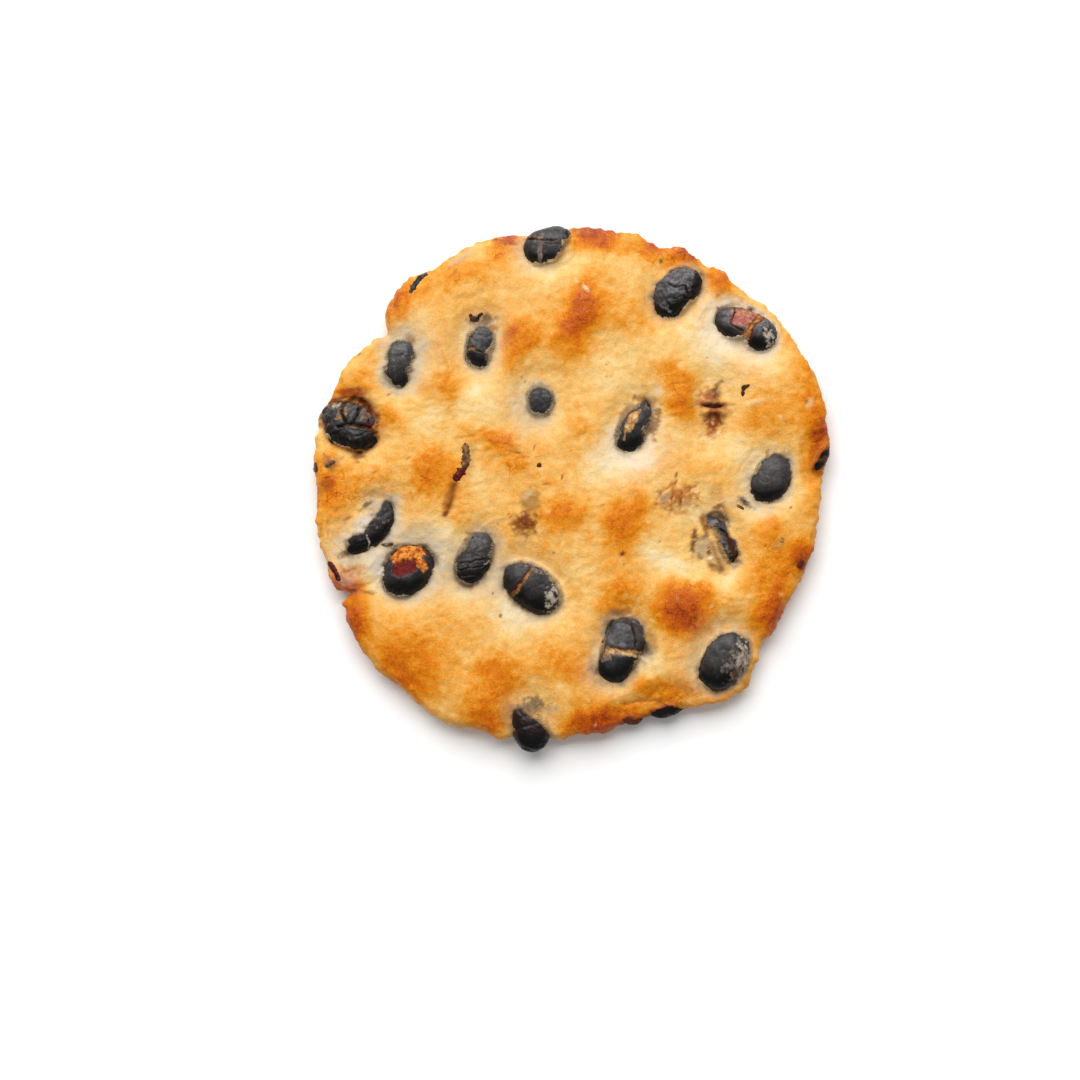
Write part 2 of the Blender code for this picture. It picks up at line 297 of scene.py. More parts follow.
LOOKS = {
    "bean_01": BeanLook(
        gaps=((-3.8, 41, 7, 2.9, 0), (-5.2, 38.6, 5, 4.8, 40), (-3.5, 38.5, 4.4, 3.4, 38)), film=0.6,
        shows=0.4, wrinkle=0.08, lumps=0.15, skin="dull_skin", bloom_and_highlight=0.5,
        halo=("ash", 0.4, 0.9, -0.6, -0.3), fringe=("fringe", 0.4, 0.4), nudge=(0.6, -0.1, 0),
        tuck=0.5,
        cracks=(
            Crack(((-4.6, 40.6), (-5, 38.6), (-5, 36.3)), 0.4, 0, "grey_film"),
            Crack(((-0.7, 41.8), (-0.6, 39.4)), 0.25, 0, "char_and_shade"),
            Crack(((-7, 40), (-5, 39.7), (-2.2, 39.7)), 0.16, 0.35, "char_and_shade"),
        ),
        peels=(Peel((-5.9, 40.2, 2.8, 0.9, 8), 0.1, ("grey_film", "brown"), 0.9),),
    ),
    "bean_02": BeanLook(
        gaps=((15.7, 30.6, 6.2, 5.6, 60), (17.9, 32.6, 6.6, 5.8, 20)), film=0.7, shows=0.6,
        wrinkle=0.26, lumps=0.25, bloom_and_highlight=1.5, halo=("ash", 0.25, 0.8, 0, -0.6), nudge=(-0.2, -0.4, 0),
        tuck=0.9,
        cracks=(
            Crack(((15.2, 33), (16.5, 32.2), (18.3, 32.4), (18.9, 30.7)), 0.22, 0.4, "char_and_shade"),
            Crack(((16.2, 30.3), (17.8, 30.7), (19.2, 30.1)), 0.16, 0.3, "char_and_shade"),
        ),
        peels=(
            Peel((20, 32.7, 3.8, 1.8, 70), 0, ("rim_skin", "char_and_shade"), 0.9),
            Peel((15.9, 34.6, 1.8, 0.5, 35), 0, ("grey_film", "skin"), 1),
            Peel((14.9, 28.9, 2.2, 0.4, -40), 0, ("bloom_and_highlight", "skin"), 1.4),
        ),
    ),
    "bean_03": BeanLook(
        gaps=((25.6, 26.9, 5.2, 4.8, -20), (30.3, 24.8, 5.4, 5, -50), (28.2, 26.5, 7.2, 4.8, -20)),
        film=0.5, shows=0.4, wrinkle=0.07, lumps=0.18, bloom_and_highlight=1.3,
        halo=("steamed", 0.75, 1.5, -0.6, -0.5), fringe=("fringe", 0.4, 0.4), nudge=(0.1, -0.3, 0),
        tuck=0.6,
        cracks=(
            Crack(((30.8, 28), (29.7, 27.1), (28.6, 25.9), (27.7, 24.2)), 0.75, 0.1, "orange"),
            Crack(((31, 27.4), (29.7, 26.4), (28.8, 25.1), (28.6, 23.6)), 0.16, 0.25, "slit"),
            Crack(((30.2, 28.1), (29.1, 27), (28.2, 25.6)), 0.13, 0.2, "brown"),
            Crack(((26.2, 29), (25.3, 26.4), (27, 25.2)), 0.18, 0.3, "char_and_shade"),
        ),
        peels=(
            Peel((27.6, 27.4, 4.6, 3, -8), 0.2, ("pink", "rose"), 0.1, 5),
            Peel((27.8, 28.4, 3.6, 0.8, -8), 0.2, ("tan", "pink"), 0.5),
            Peel((26.9, 25.4, 1.4, 0.5, -20), 0, ("dark_pink", "char_and_shade"), 0.6),
            Peel((31.5, 24.9, 3.4, 1.7, -60), 0, ("white_film", "char_and_shade"), 1.4),
        ),
    ),
    "bean_04": BeanLook(
        gaps=((-27.2, 21.7, 3.6, 3.4, 40), (-27.8, 18.5, 4.2, 3.3, 80), (-27.4, 20.2, 4, 2.6, 70)),
        film=0.22, ragged=1.6, bloom_and_highlight=0.9, halo=("ash", 0.8, 1.7, 0.3, 0.2),
        fringe=("fringe", 0.5, 0.8), tuck=0.9,
    ),
    "bean_05": BeanLook(
        gaps=((-14.4, 23.8, 4, 3.4, 70), (-15, 20.9, 3.5, 2.4, -30), (-15.3, 22.4, 2.8, 2.3, 90)),
        film=0.22, bloom_and_highlight=0.8, halo=("ash", 0.55, 1.4, 0.1, 0.2),
        cracks=(
            Crack(((-13.2, 21), (-12.6, 21.6)), 0.7, 0.1, "grey_film"),
            Crack(((-17, 22.6), (-15.2, 22.2)), 0.3, 0.25, "tan"),
            Crack(((-15.2, 22.1), (-14.2, 21.7), (-13.3, 21.6)), 0.16, 0.3, "char_and_shade"),
        ),
    ),
    "bean_06": BeanLook(
        gaps=((-4.9, 14.1, 3.8, 3, 80),), film=0.22, bloom_and_highlight=0.9, halo=("ash", 0.65, 1.7, -0.5, -0.3),
        fringe=("fringe", 0.55, 1.1),
    ),
    "bean_07": BeanLook(
        gaps=((11.4, 11.7, 5.2, 2.2, 70), (9.4, 8, 4.4, 3.4, 60), (9.8, 10, 6, 3, 64)), film=0.16,
        wrinkle=0.08, lumps=0.2, bloom_and_highlight=0.5, halo=("steamed", 0.6, 1.8, 0.1, -0.9),
        fringe=("brown", 0.6, 0.9),
        peels=(
            Peel((9.9, 11.4, 5, 1.5, 68), 0.05, ("cream", "tan"), 0.35),
            Peel((9, 10.4, 3.6, 0.7, 74), 0.1, ("tan", "cream"), 0.5),
            Peel((8.5, 8.4, 1.8, 0.4, 80), 0.05, ("tan", "brown"), 0.6),
            Peel((12.3, 13.2, 1.4, 1, 60), 0, ("grey_film", "skin"), 0.6),
        ),
    ),
    "bean_08": BeanLook(
        gaps=((-36, 10, 9.6, 5.8, -36), (-37.9, 11.9, 4.6, 4.2, 20), (-34.5, 12.6, 4.4, 4.4, 0),
              (-33.2, 8.3, 4.4, 3.8, -20), (-33, 11.4, 3.2, 4.4, 0)),
        film=0.5, dust=0.1, wrinkle=0.3, lumps=0.75, bloom_and_highlight=1,
        halo=("toasted_edge", 0.4, 0.6, -0.2, 0.3), fringe=("red_brown", 0.7, 0.4), tuck=0.6,
        cracks=(
            Crack(((-36.2, 14.4), (-36.7, 12.3), (-36, 10.6)), 0.34, 0.6, "char_and_shade"),
            Crack(((-33.6, 14.5), (-33.9, 12.4), (-34.6, 10.8)), 0.3, 0.6, "char_and_shade"),
            Crack(((-37.4, 9.8), (-34.9, 10.4), (-33, 9.9), (-31.6, 9.4)), 0.34, 0.6, "char_and_shade"),
            Crack(((-39.4, 13.4), (-37.6, 14.2), (-35.8, 14.6)), 0.26, 0.2, "tan"),
        ),
        peels=(
            Peel((-36.7, 12.1, 2.1, 1.3, 60), 0.1, ("grey_film", "tan"), 0.9),
            Peel((-37.2, 13.7, 2.6, 0.5, 25), 0, ("white_film", "brown"), 1.2),
            Peel((-34.9, 14.2, 0.8, 0.5, 0), 0, ("white_film", "skin"), 0.8),
            Peel((-34.4, 9.9, 1.8, 0.4, 10), 0, ("tan", "char_and_shade"), 1),
            Peel((-32.8, 12, 2.6, 2, 60), -0.15, ("grey_film", "brown"), 0.5),
            Peel((-32.2, 9.9, 1.8, 1.6, 60), 0.15, ("red_brown", "char_and_shade"), 0.9),
        ),
    ),
    "bean_09": BeanLook(
        gaps=((32, 1.3, 7.4, 5.4, 62), (33.2, 3, 4.6, 3.8, 80)), film=0.2, ragged=1.5, wrinkle=0.06,
        lumps=0.16, skin="dull_skin", bloom_and_highlight=0.6, halo=("ash", 0.55, 1.3, -0.3, -0.1),
    ),
    "bean_10": BeanLook(
        gaps=((23.5, -5, 3.2, 2.2, -40), (25.4, -9.5, 5.6, 1.9, -66), (24.4, -6.9, 2.2, 1, -60)),
        film=0.5, wrinkle=0.16, lumps=0.3, bloom_and_highlight=0.7, halo=("ash", 0.35, 0.8, -0.4, 0),
        fringe=("brown", 0.6, 0.4), tuck=0.8,
        cracks=(
            Crack(((24.9, -7.2), (26, -9.4), (26.7, -11.8)), 0.4, 0.2, "slit"),
            Crack(((22.2, -6.2), (23.6, -6.4), (24.6, -6.9)), 0.25, 0.4, "char_and_shade"),
        ),
        peels=(
            # painted highlight: a grey spot on the bean's upper chunk
            Peel((22.6, -5.4, 1.6, 0.9, 40), 0, ("grey_film", "bloom_and_highlight"), 0.6),
            Peel((23.4, -3.8, 1.8, 0.8, 0), 0, ("brown", "grey_film"), 0.8),
            Peel((24.6, -9.2, 3.4, 0.7, -64), 0, ("grey_film", "skin"), 0.8),
        ),
    ),
    "bean_11": BeanLook(
        gaps=((-29.6, -4.5, 5.6, 2.7, 80), (-30.9, -7, 5.4, 3.4, 48), (-33.9, -9.2, 5, 2.6, 40)),
        film=0.2, shows=0.7, ragged=1.8, wrinkle=0.14, bloom_and_highlight=0.6, halo=("ash", 0.7, 1.7, -0.2, -0.2),
        tuck=1.2,
        cracks=(Crack(((-32.6, -7.4), (-32.3, -8.8), (-32.6, -10.2)), 0.12, -0.1, "white_film"),),
        peels=(Peel((-30.2, -5.6, 2.6, 0.9, 20), 0, ("grey_film", "skin"), 0.6),),
    ),
    "bean_12": BeanLook(
        gaps=((-26.2, -13, 8.8, 7.2, 50), (-24, -11, 5.2, 4, -30)), film=0.25, wrinkle=0.1, lumps=0.2,
        bloom_and_highlight=0.25, halo=("ash", 0.75, 1.8, 0.2, 0.2),
        peels=(
            Peel((-26.4, -10.2, 6, 2.9, 12), 0.2, ("crumb", "burnt_crumb"), 0.3, 2.6),
            Peel((-26.6, -12.5, 4.4, 2.4, 18), 0.4, ("dark_pink", "red_brown"), 0.2, 2.6),
            Peel((-23.9, -12, 1.4, 2.6, 20), 0.25, ("crumb", "burnt_crumb"), 0.4),
        ),
    ),
    "bean_13": BeanLook(
        gaps=((-14.5, -9.2, 4, 3.4, 78), (-15.8, -12.4, 5.8, 4.7, 48)), film=0.2, wrinkle=0.14,
        bloom_and_highlight=0.8, halo=("ash", 0.55, 1.6, 0.2, -0.3), fringe=("fringe", 0.7, 1.3),
        cracks=(
            Crack(((-18.3, -11.9), (-16.2, -11.7), (-13.4, -11.3)), 0.16, 0.4, "char_and_shade"),
            Crack(((-18, -13), (-15.9, -12.7), (-13.6, -12.3)), 0.14, 0.35, "char_and_shade"),
            Crack(((-17.6, -14.1), (-15.4, -13.9)), 0.14, 0.3, "char_and_shade"),
            Crack(((-13.9, -12), (-12.9, -11.6)), 0.14, 0, "white_film"),
        ),
    ),
    "bean_14": BeanLook(
        gaps=((-6.5, -16.1, 10.2, 6.8, -38),), film=0.4, dust=0.15, wrinkle=0.07, lumps=0.12,
        bloom_and_highlight=0.4, halo=("ash", 0.5, 1.2, -0.4, -0.2),
        cracks=(
            Crack(((-6.1, -12.5), (-7.6, -14.7), (-9.5, -17.1)), 0.36, 0.3, "tan"),
            Crack(((-6.9, -13.2), (-8.3, -15.2), (-9.6, -16.6)), 0.13, 0.3, "red_brown"),
        ),
        peels=(
            Peel((-2.8, -17.2, 4.6, 2.1, 74), 0, ("white_film", "char_and_shade"), 1),
            Peel((-5, -13, 1.3, 0.7, -30), 0, ("cream", "tan"), 0.4),
            Peel((-5.4, -12.9, 3.4, 0.8, -24), 0, ("grey_film", "skin"), 0.8),
        ),
    ),
    "bean_15": BeanLook(
        gaps=((8.5, -23.3, 5.9, 5.4, -20), (11, -25, 4.6, 2.2, -66), (7, -28.4, 5.9, 5, 25),
              (8.2, -25.9, 5.6, 3.4, -10)),
        wrinkle=0.07, lumps=0.18, bloom_and_highlight=0.9, halo=("ash", 0.4, 1.1, -0.5, -0.2),
        fringe=("fringe", 0.75, 1),
        cracks=(
            Crack(((5.2, -25.4), (7.2, -26.1), (9.6, -26.2), (11.2, -26.7), (12.6, -27.8)),
                  0.62, 0.3, "cream"),
            Crack(((6, -25.3), (8, -25.6), (10.2, -25.6), (11.2, -26.1)), 0.12, 0.2, "red_brown"),
            Crack(((9.6, -21.6), (10.2, -23.4), (10.2, -25.2)), 0.2, 0.3, "char_and_shade"),
        ),
        peels=(
            Peel((5.6, -26.6, 2, 1.4, 80), 0, ("grey_film", "tan"), 0.6),
            Peel((9.3, -21.5, 3, 0.8, -30), 0, ("brown", "skin"), 0.8),
        ),
    ),
    "bean_16": BeanLook(
        gaps=((24.6, -27.7, 10, 7.2, 60),), film=0.7, shows=0.3, wrinkle=0.07, lumps=0.12, bloom_and_highlight=0.55,
        halo=("ash", 0.4, 1.2, -0.7, 0.3), fringe=("brown", 0.5, 0.6), tuck=0.6,
        peels=(
            Peel((26.2, -27.6, 5, 2.8, 66), 0, ("grey_film", "skin"), 1),
            Peel((27.4, -26.9, 5.8, 2.2, 78), 0, ("white_film", "grey_film"), 1.1),
            Peel((26.4, -29.4, 2.6, 1.2, 60), 0, ("grey_film", "brown"), 0.9),
        ),
    ),
    "bean_17": BeanLook(
        gaps=((-6.3, -39.7, 6.4, 4.8, -42), (-7.9, -37.8, 4.8, 3, 100)), film=0.2, dust=0.1,
        shows=0.8, wrinkle=0.12, skin="rim_skin", bloom_and_highlight=0.12, halo=("ash", 0.3, 1.1, 0, 0.5),
        fringe=("brown", 0.7, 0.8),
    ),
    "bean_18": BeanLook(
        gaps=((14.9, -36.4, 5, 2, 14),), film=0.5, cover=0.3, dust=0, shows=0.3, skin="rim_skin",
        bloom_and_highlight=0.05, halo=("toasted_edge", 0.7, 0.8, 0, 0.3), fringe=("red_brown", 0.8, 0.5), tuck=0.8,
        peels=(Peel((14.8, -35.9, 6, 2.4, 14), 0, ("rim_skin", "char_and_shade"), 0.8),),
    ),
    "bean_19": BeanLook(
        gaps=((10, -38, 3.4, 1.8, 8),), film=0.5, cover=0.3, dust=0, shows=0.3, skin="rim_skin",
        bloom_and_highlight=0.05, halo=("toasted_edge", 0.7, 0.8, 0, 0.3), fringe=("red_brown", 0.8, 0.7), tuck=0.8,
        peels=(Peel((10, -37.4, 4, 2.2, 8), 0, ("red_brown", "brown"), 0.8),),
    ),
    "bean_20": BeanLook(
        gaps=((40.4, 4.85, 3.6, 1, 60),), film=0.5, cover=0.1, dust=0, shows=0.3, skin="char_and_shade",
        bloom_and_highlight=0.05, halo=("toasted_edge", 0.6, 0.7, -0.3, 0), fringe=("red_brown", 0.9, 0.35),
        nudge=(0.6, 0.1, 0.3), tuck=0.8,
        peels=(Peel((40.5, 5, 3, 1.6, 62), 0, ("brown", "char_and_shade"), 0.8),),
    ),
    "bean_21": BeanLook(
        gaps=((22.7, 13.15, 2.8, 0.36, -3),), film=0.6, cover=0.2, dust=0, shows=0, ragged=0.1,
        skin="slit", bloom_and_highlight=0, halo=("red_brown", 0.4, 0.4, 0, -0.3), fringe=("slit", 0.3, 0.2),
    ),
}
for bean, bean_look in LOOKS.items():
    SEATS[bean] = SEATS[bean]._replace(middle=SEATS[bean].middle + bean_look.nudge)

SHOWS_BELOW = 1.0  # a bean whose base is lower than this shows on the underside
LOW_BEANS = [name for name in BEAN_NODES if SEATS[name].middle[2] - SEATS[name].half[2] < SHOWS_BELOW]


# ---------------------------------------------------------------- the dough's form

# The outline: direction in degrees and how far the rim lies outside the mean radius. The steps at
# 139, 205 and 320 degrees are where the dough was folded or broken before baking.
OUTLINE = [
    (0, -1.5), (3, -1.2), (5, -0.6), (7, -0.05), (9, 0.45), (12, 0.75), (15, 0.95), (19, 1.1),
    (23, 1.4), (29, 1.4), (34, 1.3), (39, 1.5), (42, 1.3), (49, 0.4), (53, 0.5), (55.5, 0.8),
    (58.5, 0.3), (60.5, 0.5), (62, 0.8), (65, 1.2), (67, 0.4), (69, -0.3), (73, 0.1), (76, 0.6),
    (80, 0.3), (87, 0.4), (91, -0.2), (95, -1.2), (99, -0.8), (104, 0.1), (110, 0.5), (118, 0.2),
    (123, 0.1), (127, 0.8), (130.5, 0.9), (134, -0.1), (137, -0.9), (138.3, -1.9), (139.4, -2.8),
    (143.5, -1.7), (147, -1.2), (151, -0.5), (160, -0.3), (163, 0.3), (167, 0.1), (175, -0.2),
    (182, -0.9), (187, -0.4), (196, -0.5), (200.5, -0.5), (203.3, -0.8), (204.6, -2), (205.4, -2.5),
    (206, -1.4), (208, -0.8), (210, 0), (213, 0.3), (222, 0.9), (232, 0.5), (243, 0.9), (250, -0.3),
    (254, 0.1), (257, -0.7), (262, -1.8), (267, -1.4), (271, -2), (276, -2), (281, -2.7), (285, -3),
    (289, -2.9), (293, -2.7), (297, -1.9), (301, -1.2), (305, 0.1), (308, 0.6), (312, 0.8),
    (315, -0.2), (318, -1.1), (320.4, -2.3), (324, -2.1), (330, -2.5), (334, -2.4), (340, -2),
    (347, -1.6), (354, -1.8),
]

dough_low, dough_high = (np.array(corner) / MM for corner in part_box("dough"))
MEAN_RADIUS = float((dough_high - dough_low)[:2].sum() / 4) + 0.35
DOUGH_TOP = float(dough_high[2])  # of the highest blister
TOP_LEVEL = DOUGH_TOP - 1.3  # usual height of the upper face
EDGE_DROP = 0.7  # how much lower the upper face is where it turns down into the rim
UNDER_LEVEL = 0.35
UNDER_EDGE_RISE = 0.65
UNDER_SHARE = 0.8  # of the upper face's puffing, on the flatter underside
EDGE_FALL = 6.5  # width of the band in which both faces slope to the rim
RIM_DEPTH = 1.7
RIM_MIDDLE = 2.4  # height of the outermost part of the rim
BEAN_DIP, DIP_REACH = 0.7, 2.2  # how far the dough dips at a bean, and how far from it
STIFF_BY_BEAN = 0.7  # share of the puffing that a bean holds down
BASE_TOAST = 0.36
TOAST_KNEE, TOAST_ROOM = 0.55, 0.38  # where the toast levels off, and how much more it can rise
FAINT_CRAZING = 0.12  # away from the crazed places
RIM_RED = "#A04A44"


class Patch(NamedTuple):
    """A toasted or pale place on the dough: its oval, how much browner it makes the crust, and
    how high it is puffed."""

    oval: tuple
    toast: float
    rise: float = 0.0


# An oval is x, y, length, width and turn: here the first five numbers of each row.
TOP_PATCHES = [Patch(row[:5], *row[5:]) for row in (
    # the blisters that the fire reached first
    (2, 28, 9, 5, 52, 0.46, 0.7), (1, 25.4, 12, 8, 80, 0.27, 0.5), (1.6, 32.4, 5, 3.6, 80, 0.22, 0.2),
    (17.8, -18.8, 9.8, 9.4, 0, 0.5, 1.1), (17.6, -20, 6, 5.6, 20, 0.46, 0.1),
    (8.8, -5, 11, 7.4, 68, 0.36, 0.8), (5, -37, 12, 5, 8, 0.34, 0.4),
    (32.2, -19.6, 8.6, 5.4, 62, 0.3, 0.6), (-13.8, -36.4, 7, 8, 60, 0.22, 0.5),
    (-11.6, -30, 9, 9, 20, 0.34, 0.4), (7.4, -17.6, 8.6, 6.4, 20, 0.28, 0.5),
    (-36.2, -15.6, 6.6, 3.8, 10, 0.36, 0.3),
    # fainter browning
    (-8.4, 24.2, 8.4, 5.4, 62, 0.34, 0.5), (-19.6, 16.4, 6.6, 5.6, 20, 0.25, 0.5),
    (-12.6, 8.4, 6.4, 3.4, -10, 0.38, 0.5), (-21.6, 2.8, 10.4, 7.4, -10, 0.27, 0.6),
    (-9.4, 4.8, 5.4, 5.2, 0, 0.26, 0.5), (-1.6, -4, 7.4, 6.4, 0, 0.34, 0.7),
    (10.6, 27.4, 8, 6.4, 20, 0.14, 0.3), (17.2, 16.6, 5.4, 5.4, 30, 0.27, 0.3),
    (17, 12.8, 6, 3.8, 0, 0.3, 0.3), (32, 12.6, 12, 9, 70, 0.17, 0.3),
    (0.2, -27.8, 15, 8.6, -10, 0.2, 0.4), (31.6, -6.6, 6, 5, 50, 0.25, 0.3),
    (15, -31.8, 13, 4.4, -6, 0.3, 0.3), (32, -13, 10, 7, 50, 0.28, 0.3),
    (-28, 30, 6.4, 4.4, 55, 0.22, 0.4), (-29.6, 11.8, 4.6, 4.4, 70, 0.22, 0.2),
    (23.9, 33.4, 5.4, 3.8, -50, 0.2, 0.4), (-35.6, -21.4, 7, 5, 60, 0.24, 0.4),
    (-36, 1, 7, 11, 0, 0.16, 0.2), (38.4, 4.4, 4, 9, 0, 0.14, 0.2),
    (-16.4, 34.2, 8, 4.4, 20, 0.17, 0.3), (-12, 38.4, 5, 3.4, 60, 0.22, 0.2),
    (-24.5, -28.5, 13, 9, -50, 0.28, 0.5), (20.4, 3, 6, 4, 20, 0.12, 0.3),
    (24.4, -17.6, 5, 6, 20, -0.08, 0.2), (37.4, -9.8, 4, 6, 70, 0.26, 0.2),
    (40, 8.6, 3, 3.6, 0, 0.2, 0), (-38.6, 1, 3.4, 2.8, 0, 0.28, 0.1),
    (1.4, 9.8, 5, 3.6, 0, 0.16, 0.2), (13.6, 18.6, 5, 3, 20, 0.14, 0.1),
    (5, 38.8, 12, 3, -5, 0.18, 0), (-33, 17.6, 4, 3.4, 70, 0.14, 0.1),
    (38.6, 14, 5, 10, 15, 0.14, 0.1), (-30.4, 1.8, 7, 5, 40, 0.12, 0.2),
    # pale valleys between them
    (-15.2, 13.6, 7.6, 6.6, 30, -0.2), (4.6, 3.6, 10, 6.4, 20, -0.17),
    (21.6, 22.6, 12, 7.4, -20, -0.22), (15.6, -11.4, 12, 4.4, -30, -0.22),
    (-9.2, -20.4, 10, 4.6, -25, -0.22), (-1, 10, 9, 6, 0, -0.04), (-3, 36, 10, 4, 10, -0.14),
    (-4, 32.6, 7, 4, 0, -0.1), (2.4, -12, 5, 8, 0, -0.1), (28.6, -3.8, 6, 4, 0, -0.14),
    (-21, -9, 9, 6, 0, -0.14), (5.6, 18.6, 9, 6.6, 0, -0.14), (-22.8, 10.6, 6, 4.4, 30, -0.12),
    (12.4, 22.4, 8, 5, 0, -0.1), (-15.4, 2.4, 4.6, 9, 10, -0.12), (27, 7, 6, 5, 0, -0.1),
    (-31.4, -13.4, 5, 8, 20, -0.16), (12.4, -27.4, 8, 4.6, -30, -0.14), (21, 0, 4, 8, 0, -0.08),
    (-25, 26, 8, 5, 0, -0.06), (24.6, -14.6, 5.4, 3, 20, -0.14), (35.6, 1, 3, 7, 0, -0.1),
    (33, 20, 8, 6, -50, -0.14), (10, 36.4, 9, 4, -10, -0.08),
)]

UNDER_PATCHES = [Patch(row[:5], *row[5:]) for row in (
    (-4, 6, 12, 9, 20, 0.36, 0.5), (22, 20, 11, 8, 40, 0.3, 0.4), (-24, -12, 12, 8, -30, 0.34, 0.5),
    (6, -24, 13, 8, 10, 0.36, 0.5), (-18, 24, 9, 7, 30, 0.28, 0.4), (28, -10, 9, 9, 0, 0.32, 0.4),
    (2, 32, 10, 6, 0, 0.28, 0.3), (-32, 8, 8, 6, 70, 0.26, 0.3), (12, 4, 8, 6, 60, 0.2, 0.3),
    (-10, -33, 9, 5, -20, 0.3, 0.3), (-12, -8, 9, 7, 0, -0.18), (14, -8, 8, 9, 30, -0.18),
    (-26, 12, 8, 8, 0, -0.16), (10, 16, 10, 7, 0, -0.16),
)]

# How brown the rim is: direction in degrees, width of the stretch in degrees, and toast.
RIM_BROWNING = [
    (8, 4, 0.16), (13, 3, 0.2), (26, 10, 0.08), (53, 4, 0.14), (64, 3.4, 0.34), (72, 4, 0.24),
    (84, 6, 0.26), (103.5, 3, 0.2), (131, 6, 0.16), (158, 3, 0.2), (178, 8, 0.14), (201, 3.4, 0.24),
    (211, 6, 0.16), (228, 12, 0.14), (250, 6, 0.1), (270, 3, 0.14), (277, 6, 0.2), (291, 7, 0.18),
    (306, 5, 0.12), (328, 7, 0.12), (342, 5, 0.14),
]

# Where the rim went pinkish brown: the same, with the share of that colour.
RIM_REDDENING = [
    (12.5, 2.6, 0.3), (64, 2.4, 0.45), (85, 4.5, 0.75), (104, 2.4, 0.6), (133, 5, 0.25),
    (200, 3, 0.03), (326, 5, 0.15), (278, 6, 0.2), (71, 2.4, 0.35),
]

# How crumbly the rim is: direction in degrees, width in degrees, and extra roughness in mm.
RIM_CRUMBLING = [
    (66, 10, 0.36), (10, 6, 0.18), (190, 10, 0.1), (205, 5, 0.2), (128, 6, 0.1), (335, 14, 0.1),
    (85, 8, 0.12), (278, 10, 0.08),
]


class Stain(NamedTuple):
    """A place where the dough has another colour than its crust: its oval, the colour, how
    strong it is, how ragged its edge is, how high it stands, and how square it is."""

    oval: tuple
    colour: str
    share: float
    ragged: float = 0.3
    rise: float = 0.0
    corner: float = 2.0


